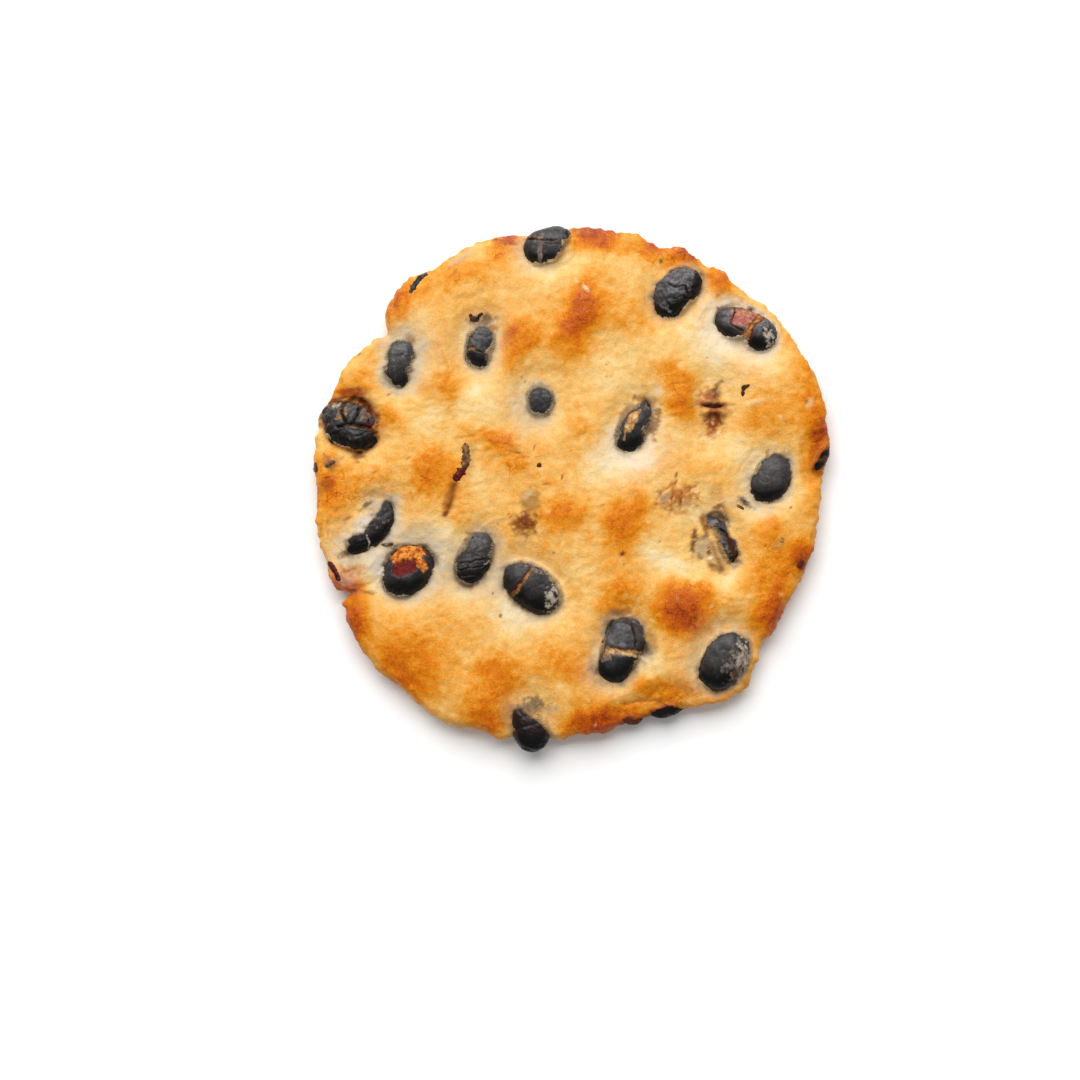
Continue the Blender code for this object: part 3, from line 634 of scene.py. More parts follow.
# Each row starts with the five numbers of its oval.
STAINS = [Stain(row[:5], *row[5:]) for row in (
    (-12.2, 40, 1.1, 0.6, 10, "#2E1C14", 0.9, 0.5), (-10.3, 39.5, 2.6, 1.1, -10, "#A4402A", 0.6, 0.8),
    (19.7, 37.1, 1.8, 0.9, -35, "#8E3A14", 0.8, 0.8), (3, 40.6, 4.6, 0.7, -4, "#A8482A", 0.5, 0.9),
    (-1.4, 39.1, 1.8, 0.9, 68, "#A08C74", 0.9, 0.35, 0.15),
    (-2, 38.2, 2, 0.7, 30, "#5A463A", 0.6, 0.5),
    # a bean lies shallow here, and its skin has coloured and cracked the dough
    (22.7, 12.6, 9, 6, 88, "#D08C40", 0.45, 0.6),
    (22.6, 14.6, 3.2, 2.4, 84, "#8E523A", 0.85, 0.7, 0.1), (22.9, 11, 4, 3, 85, "#8A4010", 0.95, 0.5),
    (24.7, 11.8, 2, 1.4, 40, "#C0662A", 0.4, 0.9), (20.9, 14.3, 2.6, 1.6, 60, "#B4603C", 0.6, 0.9),
    (22.2, 9.3, 1.8, 1.2, 40, "#A8401A", 0.6, 0.8), (22.9, 15.2, 0.9, 1.6, 0, "#5A2418", 0.6, 0.8),
    (23.4, 16.6, 1.8, 0.7, 50, "#7A4A2C", 0.7, 0.9), (22.4, 8.8, 2, 1.4, 60, "#C0641C", 0.5, 0.9),
    # painted highlight: a small pale glint on the brown dough
    (22.6, 10.5, 0.5, 0.4, 0, "#E8CFA4", 0.8, 0.2, 0.05),
    # a brown, cracked lump
    (16.8, -1.4, 6, 4, 4, "#B0622A", 0.8, 0.8, 0.3), (15, -1.4, 1.8, 2, 0, "#B9A07C", 0.6, 0.9),
    (18.5, -2.4, 1.8, 1.6, 20, "#E6BC80", 0.7, 0.8), (17.4, -3.8, 3.4, 1, 8, "#D07A24", 0.6, 0.6),
    # a wrinkled, glassy bubble and the brown spot below it
    (-6.6, -2.2, 4.8, 3.4, 70, "#AC7C42", 0.9, 0.5, 0.2), (-7, -0.9, 1.9, 1, 30, "#DDC39A", 0.7, 0.8),
    (-7.7, -5.4, 4.8, 4, 10, "#8A4C1A", 0.85, 0.8, 0.25),
    (-7.6, -5.2, 2.6, 2.2, 40, "#74370F", 0.8, 0.8), (-8, -8, 3, 3.6, 80, "#D9A76A", 0.4, 0.5),
    # the groove below the brown strip of skin
    (-19.3, -1.2, 6.6, 2, 73, "#A9601C", 0.8, 0.25), (-20, -4, 1.2, 0.9, 40, "#7A2E0E", 0.8, 0.4),
    (-16.3, 4.6, 6.4, 2, 85, "#C99A5E", 0.6, 0.4),
    # film and crumbs round the beans
    (-14.3, 27, 3.8, 1.9, 10, "#6E553E", 0.85, 0.7), (-12.5, 25.8, 1.2, 1.4, 70, "#A4641E", 0.8, 0.5),
    (-25.7, 23.9, 1.9, 1.2, -40, "#9A7044", 0.8, 0.5),
    (-35.4, 15.5, 4.8, 1.7, 5, "#A84412", 0.9, 0.4), (-31.1, 11, 2.6, 1, 86, "#6E1C10", 0.95, 0.5),
    (-32.9, 13.9, 2.6, 0.7, -40, "#5E2412", 0.8, 0.6),
    (-31.6, 12.6, 1.6, 1.2, -50, "#C88450", 0.7, 0.6),
    (-37.2, 14.5, 5.4, 0.7, 10, "#4E2C18", 0.8, 0.6), (-34.2, 5.4, 2, 2.4, 0, "#7A4420", 0.8, 0.8),
    (-30.9, 9.2, 2.6, 4.4, 10, "#C08040", 0.6, 0.5), (-36.4, 6.9, 5.4, 1.2, -20, "#8A4E1E", 0.8, 0.8),
    (-37.8, 7.9, 4.6, 1, -32, "#D5C6B2", 0.8, 0.6),
    (-31, -3, 4.6, 2.4, -35, "#C9B497", 0.8, 0.5, 0.2),
    (-32.8, -2.7, 2.6, 0.8, 38, "#6E4A2A", 0.8, 0.7),
    (-32.2, -4.3, 1.1, 0.9, 0, "#6A3616", 0.85, 0.5),
    (-33.2, -5.5, 4.4, 2.4, 40, "#D8C9B6", 0.92, 0.5, 0.2),
    (-35.8, -4.7, 1.6, 0.8, 30, "#A05A22", 0.6, 0.6),
    (-36.3, -10.6, 2.4, 1.2, 20, "#6E4A30", 0.65, 0.6),
    (-31.2, -0.8, 4.4, 1.3, -12, "#B87838", 0.5, 0.5),
    (-29, -8.9, 3.4, 1.6, -10, "#705A46", 0.8, 0.9),
    (-34.6, -12.8, 3.8, 2.2, 10, "#B0702E", 0.6, 0.6),
    (-28.8, -7.6, 3.6, 1.6, 50, "#CBBCA8", 0.6, 0.6), (-31, -12, 3, 4.6, 20, "#DCCDBE", 0.75, 0.6),
    (8.8, 12.4, 5, 1.6, 60, "#8C6840", 0.7, 0.8), (11, 14.4, 3.4, 1, -14, "#9A5E28", 0.7, 0.8),
    (13.5, 10.3, 4, 1.7, 76, "#8C5420", 0.75, 0.9), (12.9, 13.6, 2.2, 1.2, 50, "#C08444", 0.6, 0.8),
    (13.8, 15.8, 1.8, 2, 0, "#EBD7B4", 0.6, 0.5), (10.2, 4.7, 7, 3.2, -4, "#F4E0C2", 0.75, 0.4),
    (-6, -34.6, 5.4, 2.6, 4, "#6A5A4A", 0.85, 0.7), (-3.6, -35.4, 3.4, 1.5, 10, "#CBA878", 0.7, 0.4),
    (-10.8, -36, 4.4, 1.5, -72, "#E0A050", 0.4, 0.6), (31.4, 5.3, 1.9, 0.7, 80, "#8A5A2C", 0.7, 0.5),
    (34, 5.4, 3, 1.2, 20, "#A4763E", 0.6, 0.5), (27.8, -2.2, 2.8, 1.5, -25, "#6E5E4C", 0.75, 1.1),
    (25.3, -1.9, 2.8, 2.2, 0, "#E4C694", 0.6, 0.5),
    (21.4, -5.6, 4.2, 1.3, -78, "#9C6430", 0.85, 0.6, -0.1),
    (20.9, -9.4, 4.8, 2.8, 80, "#BBA380", 0.85, 0.6),
    # the bean's wrinkled flesh beside its strip of black skin
    (23.4, -10.3, 5.6, 2.3, -64, "#C59B66", 0.95, 0.35, 0.35),
    (19.6, -8.4, 3.6, 1.2, 84, "#6E4420", 0.9, 0.7),
    (20.6, -10.8, 1.8, 0.9, -40, "#85684A", 0.8, 0.7),
    (22, -10.2, 2.4, 0.6, 86, "#45362A", 0.9, 0.6, -0.2),
    # painted highlight: a small white glint on a low bump
    (22.2, -11.2, 0.9, 0.7, 30, "#F2E6CE", 0.95, 0.2, 0.25),
    (23.4, -8, 2, 0.5, -60, "#8A5E36", 0.8, 0.6), (21.5, -7.6, 1.4, 1, 60, "#8C7458", 0.8, 0.8),
    (23.6, -2.7, 1.8, 1, 30, "#7E4A22", 0.75, 0.8), (23.2, -0.6, 2.6, 3, 0, "#C48A48", 0.5, 0.6),
    (23.2, -12.7, 3.8, 1.6, -30, "#9A6C3C", 0.8, 0.5), (8.2, -19.7, 3.6, 1.3, 0, "#94501C", 0.6, 0.4),
    (12.9, -24.2, 1.4, 4.4, 15, "#B07838", 0.6, 0.4), (3.9, -26.6, 1.4, 5, 0, "#E8CC9C", 0.6, 0.5),
    (11.9, -27.4, 2.8, 0.7, -28, "#F0D8A8", 0.85, 0.4, 0.1),
    (20.2, -27, 1.4, 6, -30, "#E2BE88", 0.7, 0.4), (28.7, -30.2, 6.6, 2, 62, "#D0903F", 0.9, 0.4),
    (28, -31, 1.8, 1.6, 60, "#B06A2A", 0.5, 0.8), (-16.6, -15.2, 2.4, 1.2, -20, "#5E3C22", 0.7, 0.7),
    (-15, -7.2, 3.6, 0.7, -4, "#6E4A2C", 0.7, 0.9), (19.4, 35.8, 4.4, 0.9, -20, "#C9A070", 0.6, 0.6),
    (22, 35.9, 3, 1.6, -20, "#B88048", 0.4, 0.5), (-38.5, 4, 1.9, 1.5, 10, "#54422E", 0.85, 0.5),
    (-38.4, 4.2, 3.6, 2.8, 0, "#A8622A", 0.5, 0.5), (-39.6, 0.4, 3.2, 2, 0, "#B06A2C", 0.55, 0.4),
    (-17.5, 37.2, 6, 1.3, 34, "#D6B78C", 0.8, 0.4), (-20, 36.8, 3, 0.7, 32, "#9A8460", 0.6, 0.5),
    (36.9, -11.9, 2.6, 3, 70, "#8A3A14", 0.7, 0.5), (33.2, -8.9, 2.6, 1.8, 50, "#BE8440", 0.6, 0.4),
    (38, 13.8, 2.2, 1.2, 60, "#F0CC90", 0.6, 0.5),
    # puffed grains, paler than the blister they stand on
    (2.3, 32, 1.5, 0.6, -42, "#F6DDB4", 0.95, 0.2, 0.2),
    (0.7, 33.3, 1.4, 0.5, -62, "#F2CC96", 0.9, 0.3, 0.15),
    (16.9, -17.6, 0.8, 0.5, 0, "#DE9A60", 0.8, 0.3, 0.1),
    (-3.7, -3.7, 0.9, 0.6, 0, "#F4BE80", 0.7, 0.4, 0.1),
    (3.8, -37.9, 0.9, 0.5, 60, "#E89A6A", 0.8, 0.4, 0.1),
    (8.8, -17, 0.6, 0.5, 0, "#F0C48A", 0.8, 0.3, 0.1),
    (12.4, -5.4, 0.6, 0.5, 0, "#F8DCA8", 0.8, 0.3, 0.1),
    (33.6, -16.9, 0.9, 0.4, -60, "#EEB878", 0.8, 0.3, 0.1),
    (22.4, -18.8, 0.7, 0.5, 0, "#F6D096", 0.8, 0.3, 0.1),
    (-1.6, -31.7, 1.6, 0.7, 10, "#F8D69C", 0.7, 0.4, 0.1),
    (29.5, 13.9, 3.6, 1, 14, "#FAD296", 0.7, 0.4, 0.1),
    (33.5, 11.4, 1.1, 0.5, -50, "#FAD296", 0.8, 0.4, 0.1),
    (-17.5, 19, 1, 0.5, 40, "#F9D69C", 0.6, 0.4, 0.1), (5.2, 36.8, 0.6, 0.6, 0, "#D0782A", 0.7, 0.3),
    # dark specks: scorched crumbs of skin
    (8.1, -10.4, 0.9, 0.6, 20, "#5C1E0C", 0.95, 0.4), (8.4, -12.1, 0.5, 0.4, 0, "#A06020", 0.7, 0.3),
    (-1.5, 1.8, 1.1, 0.4, 80, "#9A4A1C", 0.8, 0.6), (-4, 0.8, 1.8, 0.3, 4, "#9A5A24", 0.7, 0.9),
    (-5.9, 6.6, 0.7, 0.3, 70, "#7A4A20", 0.8, 0.4), (-2.8, -10.3, 0.4, 0.3, 0, "#A84E14", 0.8, 0.3),
    (-12.5, -16.7, 0.5, 0.4, 0, "#4A3422", 0.85, 0.3),
    (-11.3, -20.4, 0.8, 0.7, 70, "#8A4E18", 0.85, 0.5), (35.1, -3, 0.5, 0.4, 0, "#5A3418", 0.9, 0.3),
    (31, -9.1, 0.5, 0.4, 0, "#A04414", 0.8, 0.3), (14.1, -8.4, 0.5, 0.3, 60, "#A06A30", 0.7, 0.3),
    (5.1, -2.6, 0.5, 0.4, 0, "#8A7452", 0.7, 0.3), (20, -20.6, 1.3, 0.9, 0, "#5A3818", 0.7, 0.6),
    (-29.3, 15.1, 0.5, 0.4, 0, "#6A3A1C", 0.85, 0.4), (-34.2, 21.7, 1, 0.4, 25, "#8A3A1A", 0.8, 0.5),
    (14.4, 36.5, 0.9, 0.7, 70, "#5E3416", 0.85, 0.5),
    (23.4, 28.95, 0.8, 0.3, -4, "#6A3A1C", 0.85, 0.4),
    (23.4, 30.9, 1.5, 0.35, 38, "#B87430", 0.7, 0.5),
    (21.7, 20.9, 0.5, 0.35, 30, "#A4783E", 0.7, 0.3), (-7.9, 17.8, 0.4, 0.3, 0, "#8A5A30", 0.8, 0.3),
    (-7.4, 17.1, 0.5, 0.35, 0, "#9A6A3A", 0.75, 0.3), (5.7, 18, 0.5, 0.4, 0, "#A07844", 0.7, 0.3),
    (34.3, 10.8, 0.8, 0.7, 40, "#B87A34", 0.6, 0.5), (39, 9, 0.5, 0.8, 0, "#9A3C1C", 0.7, 0.5),
    (37.6, 13.9, 1.2, 0.5, 60, "#A05A28", 0.8, 0.5), (39, 6, 2, 2.6, 20, "#B85E1C", 0.6, 0.6),
    (-26, 4.9, 1, 0.3, 40, "#A86424", 0.6, 0.5), (-20.9, 5.6, 1, 0.3, 50, "#B8702C", 0.6, 0.5),
)]

# Fine splits in the dough: path, half width, depth, colour and share.
FISSURES = [
    (((20.9, 13.4), (22.6, 13.15), (24.4, 13.3)), 0.26, 0.3, "#520F12", 0.95),
    (((22.4, 12.6), (23.2, 11.8), (24.2, 10.4)), 0.15, 0.3, "#4E1A0E", 0.8),
    (((22.5, 12.6), (21.9, 11.6), (21.3, 10.6)), 0.13, 0.2, "#5A220E", 0.7),
    (((23, 15.8), (23, 13.6)), 0.13, 0.3, "#5A2E1C", 0.7),
    (((16.9, 2.6), (16.5, 0.4), (16, -1.6)), 0.13, 0.25, "#8E3408", 0.9),
    (((17.6, -0.5), (17.4, -1.8), (17.5, -3.2)), 0.13, 0.35, "#7C2606", 1),
    (((13.7, -1.8), (14.4, -0.6), (15.4, 0.2)), 0.16, 0.2, "#A0602A", 0.7),
    (((19, 0), (20.4, 0.9)), 0.16, 0.15, "#B64A08", 0.9),
    (((18.9, -0.2), (19.2, -2)), 0.13, 0.2, "#A8541E", 0.6),
    (((-18.7, 0.6), (-19, -1.4), (-19.9, -4)), 0.22, 0.4, "#7E3C12", 0.75),
    (((-9.8, 7), (-8.8, 6), (-7.5, 5.1)), 0.16, 0.1, "#B25A20", 0.7),
    (((-10.2, 6), (-8.4, 5.8)), 0.15, 0.1, "#9C4012", 0.6),
    (((-10.6, -4.7), (-12.6, -4.9), (-14.8, -6.6)), 0.14, -0.12, "#E8CC9C", 0.7),
    (((-17, -7.8), (-16.6, -9)), 0.12, 0.1, "#6E5438", 0.7),
    (((8.4, -34.6), (11, -34), (14.6, -33.8)), 0.2, 0.2, "#A04A14", 0.7),
    (((13.8, -34.4), (15.2, -34.6), (16.4, -35.2)), 0.2, 0.2, "#6A1E10", 0.7),
    (((20.6, -32), (21.2, -34)), 0.18, 0.15, "#C08A50", 0.6),
    (((-39.6, 5.4), (-38.6, 4.6)), 0.16, 0.15, "#A84A1C", 0.7),
    (((-32.4, 2), (-30.8, 3)), 0.16, 0.1, "#C46A18", 0.7),
    (((-37.8, -3.6), (-37, -2.4)), 0.12, 0.1, "#B86A24", 0.6),
    (((-36.2, 0), (-35.8, 0.8)), 0.14, 0.1, "#A8541A", 0.6),
    (((-39, -4.8), (-39.1, -7.4)), 0.14, 0.1, "#C0782E", 0.6),
    (((-37, -12.2), (-36.2, -13.4), (-34.6, -12.8)), 0.16, 0.15, "#9A5420", 0.65),
    (((-25.8, -0.4), (-25.2, -2)), 0.12, 0.1, "#C07428", 0.6),
    (((-36.8, -17.5), (-34.4, -16.6), (-31.8, -16.9)), 0.25, 0.5, "#C88A44", 0.6),
    (((-19.2, 34), (-18.4, 35)), 0.14, 0.1, "#B0601E", 0.6),
    (((-19.4, 30.4), (-16.4, 30.6), (-14.2, 31.6)), 0.2, 0.15, "#D09648", 0.5),
    (((-20.6, 21.8), (-19.6, 19.4), (-21.2, 17.4)), 0.14, 0.12, "#D08A34", 0.5),
    (((-18.4, 8), (-15.8, 8.4), (-13.4, 9.6)), 0.16, 0.15, "#C89048", 0.5),
    (((5, 20.6), (7.6, 23.2)), 0.2, 0.15, "#E0B070", 0.4),
    (((9.8, 39), (8.2, 39.8), (7.4, 41)), 0.16, 0.15, "#C8823C", 0.5),
    (((26.6, 2.8), (28.8, 5.8), (29.2, 7)), 0.16, 0.12, "#D8A560", 0.5),
    (((20.2, 13.4), (18.6, 12.8)), 0.14, 0.1, "#B85A1C", 0.6),
    (((24.4, 13.3), (26.2, 13.5)), 0.12, 0.1, "#C87830", 0.6),
    (((20.4, 8), (21.8, 9.6)), 0.16, 0.1, "#C08038", 0.5),
    (((24.2, -2.8), (25, -4.4), (25.2, -6)), 0.2, 0.25, "#7A4E2A", 0.6),
    (((20.8, -4.6), (21.3, -6.2), (21.9, -7.6)), 0.22, 0.2, "#8A5220", 0.7),
    (((22.5, -8.6), (23.1, -10.6), (24.2, -12.8)), 0.14, 0.2, "#7A5230", 0.75),
    (((23.4, -8.4), (24, -10.2), (25, -12)), 0.13, 0.2, "#8A6038", 0.6),
    (((22.2, -12.2), (23.4, -13), (24.6, -13)), 0.2, 0.1, "#7E5026", 0.7),
]

# Where the dough is crazed with short reddish wrinkles: ovals with their strength.
CRAZING = [
    ((-36, -2, 13, 24, 0), 0.8), ((-35, 1, 10, 7, 0), 0.5), ((-17.4, 34, 9, 6, 20), 0.6),
    ((-8.8, 4.6, 7, 7, 0), 0.8), ((17.8, -18.8, 9, 9, 0), 0.7), ((36, -12, 9, 14, 60), 0.7),
    ((39, 8, 5, 9, 0), 0.9), ((14, 38, 14, 6, -20), 0.8), ((-10.5, 39, 6, 5, 0), 0.8),
    ((3, -36.5, 16, 6, 0), 0.7), ((16, -33.5, 14, 4, 0), 0.7), ((-27.5, 31, 7, 6, 50), 0.6),
    ((2, 28, 9, 12, 0), 0.4), ((22.8, 13, 6, 9, 0), 0.9), ((17, -1.4, 7, 5, 0), 0.9),
    ((-3, -23, 10, 5, 0), 0.5), ((-21.5, 3, 9, 6, 0), 0.4), ((22, -3, 7, 9, 0), 0.7),
    ((16.5, 16, 6, 6, 0), 0.5), ((-38, -13.5, 5, 6, 0), 0.7), ((8.5, -5, 8, 10, 0), 0.3),
]


def outline_radius(angle):
    """Rim radius for directions in degrees: third-degree pieces through the outline's points."""
    turns, steps = np.array(OUTLINE, float).T
    turns = np.concatenate([turns[-2:] - 360, turns, turns[:2] + 360])
    steps = np.concatenate([steps[-2:], steps, steps[:2]])
    slopes = np.gradient(steps, turns)
    angle = np.mod(angle, 360)
    left = np.clip(np.searchsorted(turns, angle, side="right") - 1, 0, len(turns) - 2)
    span = turns[left + 1] - turns[left]
    t = (angle - turns[left]) / span
    ease = t * t * (3 - 2 * t)
    bulge = t * (1 - t) ** 2 * span * slopes[left] + t * t * (t - 1) * span * slopes[left + 1]
    return MEAN_RADIUS + steps[left] * (1 - ease) + steps[left + 1] * ease + bulge


def round_the_rim(angle, stretches):
    """Sum over stretches of the rim of their strength times a bell curve of the angle."""
    total = 0.0
    for middle, width, strength in stretches:
        away = np.mod(angle - middle + 180, 360) - 180
        total = total + strength * bell(away / width)
    return total


def patch_sums(x, y, patches):
    """Added browning and rise of the patches: each is strongest in the middle of its oval, about
    a third as strong on its edge, and fades out beyond it. The browning is an ease and a bell
    curve added, and the rise is a bell curve. The ovals are bent by noise at 4, 1.6 and 0.8 mm."""
    spots = flat_spots(x, y)
    x = x + noises(spots, (1.1, 4.0, 71), (0.5, 1.6, 72), (0.3, 0.8, 75))
    y = y + noises(spots, (1.1, 4.0, 73), (0.5, 1.6, 74), (0.3, 0.8, 76))
    toast, rise = 0.0, 0.0
    for patch in patches:
        size = oval_size(x, y, patch.oval)
        toast = toast + patch.toast * (0.6 * smooth_step(1.3, 0.35, size) + 0.4 * bell(0.8 * size))
        rise = rise + patch.rise * bell(0.85 * size)
    return toast, rise


def bean_nearness(x, y, names):
    """1 on the nearest bean's footprint, falling to 0 as a bell curve of the distance."""
    nearest = np.zeros_like(x)
    for name in names:
        middle, half, turn = SEATS[name]
        size = oval_size(x, y, (middle[0], middle[1], 2 * half[0], 2 * half[1], turn))
        outside = np.maximum(0, size - 1) * (half[0] + half[1]) / 2
        nearest = np.maximum(nearest, bell(outside / DIP_REACH))
    return nearest


PLUMPNESS = 2.3  # above 2 the bean is blunter than an oval
EGG = 0.06  # how much thicker one end is
PRESSED_FLAT = 0.93  # share of its height that the covered part of a bean loses


def bean_swell(place, look, seed):
    """The broad unevenness of a bean, in mm outwards, for places about its middle."""
    return noises(place, (look.lumps, 3.2, seed + 1), (0.06, 1.4, seed + 2))


def pressed(x, y, name):
    """The share of its height that a bean's upper half keeps: all of it in the opening and just
    outside it, easing to next to none a tuck away, where the dough covers it."""
    tuck = LOOKS[name].tuck
    return 1 - PRESSED_FLAT * smooth_step(0.25 * tuck, tuck, opening_gap(x, y, name, 1))


def bean_roof(x, y, name, side):
    """Height of a bean's upper (side 1) or lower (side -1) face over or under a point of the
    plane, from its plump oval body, and how far out in the bean the point is."""
    middle, half, turn = SEATS[name]
    along, across = along_across(x, y, middle, turn)
    thick = 1 + EGG * np.clip(along / half[0], -1, 1)
    share = np.abs(along / half[0]) ** PLUMPNESS + np.abs(across / (half[1] * thick)) ** PLUMPNESS
    depth = half[2] * thick * np.maximum(0, 1 - share) ** (1 / PLUMPNESS)
    depth = depth * (pressed(x, y, name) if side > 0 else 1)
    place = np.stack([x - middle[0], y - middle[1], side * depth], -1)
    swell = bean_swell(place, LOOKS[name], bean_seed(name))
    return middle[2] + side * (depth + np.maximum(0, swell)), share ** (1 / PLUMPNESS)


def opening_gap(x, y, name, side):
    """Distance in mm outside the ragged opening in the dough over or under a bean: the least
    distance to its ovals, bent by noise at 2, 0.9 and 0.6 mm."""
    gaps = LOOKS[name].gaps
    if side < 0:
        middle, half, turn = SEATS[name]
        gaps = ((middle[0], middle[1], 1.15 * half[0], 1.1 * half[1], turn),)
    ragged = noises(flat_spots(x, y), (0.36, 2.0, 31), (0.24, 0.9, 32), (0.12, 0.6, 36))
    return np.min([oval_gap(x, y, oval) for oval in gaps], axis=0) + LOOKS[name].ragged * ragged


def painted(paint, share, code):
    """Lays a hex colour over paint by a share: the colour is kept multiplied by how much of the
    crust is covered, which is the fourth value."""
    share = np.clip(share, 0, 1)[..., None]
    return paint * (1 - share) + np.array([*linear(code), 1.0]) * share


FILM_BLEND = 0.12  # how softly the film rises from the dough beside the bean
OPENED = (0.2, -0.4)  # mm outside the opening where the film starts to break and is gone
SINK = 0.9  # how far below a bean's face the dough lies inside the opening
SHOW_THROUGH = 0.22  # thickness of dough that lets a third of the bean's darkness through


def lay_over_bean(height, film, paint, x, y, name, side):
    """Lays the dough over a bean: over the covered part it lies on the bean as a film that
    thickens away from the opening, and in the opening it sinks out of sight into the bean, or
    into a groove beside it. The film shows the bean as the exponential of its thickness."""
    look = LOOKS[name]
    middle, half = SEATS[name][:2]
    close = np.hypot(x - middle[0], y - middle[1]) < half[0] + 6
    x, y = x[close], y[close]
    spots = flat_spots(x, y)
    roof, size = bean_roof(x, y, name, side)
    gap = opening_gap(x, y, name, side)
    thick = look.cover + look.film * np.clip(gap, 0, 1) * (1 + 0.5 * noise(spots, 1.4, 33))
    before = side * height[close]
    covered = smooth_max(before, side * roof + thick, FILM_BLEND)
    opened = smooth_step(*OPENED, gap)
    sunk = np.minimum(covered, side * roof - SINK)
    groove = 0.8 * opened * smooth_step(1.35, 1.05, size)
    laid = np.where(size < 1, covered * (1 - opened) + sunk * opened, before - groove)
    patchy = 1 + noises(spots, (0.6, 1.2, 34), (0.45, 0.6, 35))
    thickness = np.maximum(0, covered - side * roof)
    shown = np.exp(-thickness / SHOW_THROUGH * np.maximum(0.35, patchy))
    shown = shown * smooth_step(1.03, 0.9, size)
    height, film, paint = height.copy(), film.copy(), paint.copy()
    height[close] = side * laid
    film[close] = np.maximum(film[close], look.shows * np.clip(shown, 0, 1))
    paint[close] = paint_round_opening(paint[close], x, y, name, gap, patchy)
    return height, film, paint


def paint_round_opening(paint, x, y, name, gap, patchy):
    """Lays the halo and then the fringe round a bean's opening: both are patchy, and each is a
    bell curve of the distance from the opening. The halo reaches further where it leans."""
    look = LOOKS[name]
    middle, half = SEATS[name][:2]
    away = np.maximum(gap, 0)
    colour, strength, reach, lean_x, lean_y = look.halo
    toward_x, toward_y = (x - middle[0]) / half[0], (y - middle[1]) / half[0]
    lean = np.clip(1 + lean_x * toward_x + lean_y * toward_y, 0.1, 1.8)
    share = 1.25 * strength * bell(away / (1.15 * reach * lean)) * np.clip(patchy + 0.1, 0.3, 1.4)
    paint = painted(paint, np.minimum(0.92, share), COLOURS[colour])
    colour, strength, reach = look.fringe
    return painted(paint, strength * bell(away / reach) * np.clip(patchy, 0.2, 1.3), COLOURS[colour])


def paint_stains(x, y, paint, height, film):
    """Lays the stains and the splits over the dough: a stain is full in its oval, and noise at
    0.9 and 0.45 mm makes its edge ragged and leaves gaps in it. A split is a bell curve of the
    distance from its path, which noise bends and breaks."""
    spots = flat_spots(x, y)
    rough = noises(spots, (0.8, 0.9, 61), (0.6, 0.45, 62))
    holes = smooth_step(0.1, 0.8, noises(spots, (1, 0.7, 63), (0.4, 0.4, 64)))
    for stain in STAINS:
        size = oval_size(x, y, stain.oval, stain.corner)
        soft = smooth_step(1.3, 0.5, size + stain.ragged * rough * np.minimum(1, size))
        soft = soft * (1 - min(1, stain.ragged) * holes)
        paint = painted(paint, stain.share * soft, stain.colour)
        film = film * (1 - stain.share * soft)
        height = height + stain.rise * smooth_step(1.2, 0.3, size)
    wavy = noises(spots, (0.22, 1.3, 88), (0.08, 0.5, 89))
    broken = smooth_step(-0.75, 0.0, noise(spots, 0.8, 90))
    for path, width, depth, colour, share in FISSURES:
        away = path_distance(x + wavy, y - wavy, path)
        height = height - depth * bell(away / (1.3 * width))
        paint = painted(paint, share * bell(away / (1.15 * width)) * broken, colour)
    return paint, height, film


def crust_relief(x, y, seed):
    """Height that the fine form adds: broad puffing at 12 and 5 mm, leathery wrinkles at 2.6 mm
    that follow a bent lattice, streaks of 3.2 by 0.75 mm, and grain at 1.3 and 0.75 mm."""
    spots = flat_spots(x, y)
    bend = [noise(spots, 6, seed + 5), noise(spots, 6, seed + 6), np.zeros_like(x)]
    bent = spots + 1.2 * np.stack(bend, -1)
    puff = noises(spots, (0.30, 12, seed), (0.17, 5, seed + 1))
    wrinkles = 0.09 * creased_noise(bent, (2.6, 1.7, 2), seed + 2) - 0.04
    lines = streaks(bent, 3.2, 0.75, seed + 7)
    grain = 0.06 * noise(bent, 1.3, seed + 3) + 0.045 * noise(spots, 0.75, seed + 4)
    return puff, wrinkles + 0.06 * lines + grain, lines


def crust_height(spots, side, edge, near, puffed, fine):
    """Height of one face: its level, sloping to the rim as the square of the nearness to it,
    puffed up between the beans, and dipped at them. The underside never goes below the table."""
    puffed = puffed * (1 - STIFF_BY_BEAN * near)
    if side > 0:
        return TOP_LEVEL - EDGE_DROP * edge + puffed - BEAN_DIP * near + fine
    height = UNDER_LEVEL + UNDER_EDGE_RISE * edge - UNDER_SHARE * puffed
    height = height + 0.6 * BEAN_DIP * near - fine
    return np.maximum(height, 0.02 * (1 + noise(spots, 1.1, 9)))


def crust_toast(spots, browning, raised, lines, near):
    """Toast of one face: its patches and mottling at 7, 3, 1.5 and 0.8 mm, more where the crust
    is raised and less at the beans. Above the knee it levels off as a falling exponential."""
    toast = BASE_TOAST + browning + 0.05 * lines + 0.25 * raised - 0.06 * near
    toast = toast + noises(spots, (0.07, 7, 21), (0.06, 3, 22), (0.06, 1.5, 23), (0.05, 0.8, 24))
    over = np.maximum(0, toast - TOAST_KNEE)
    return np.minimum(toast, TOAST_KNEE) + TOAST_ROOM * (1 - np.exp(-over / TOAST_ROOM))


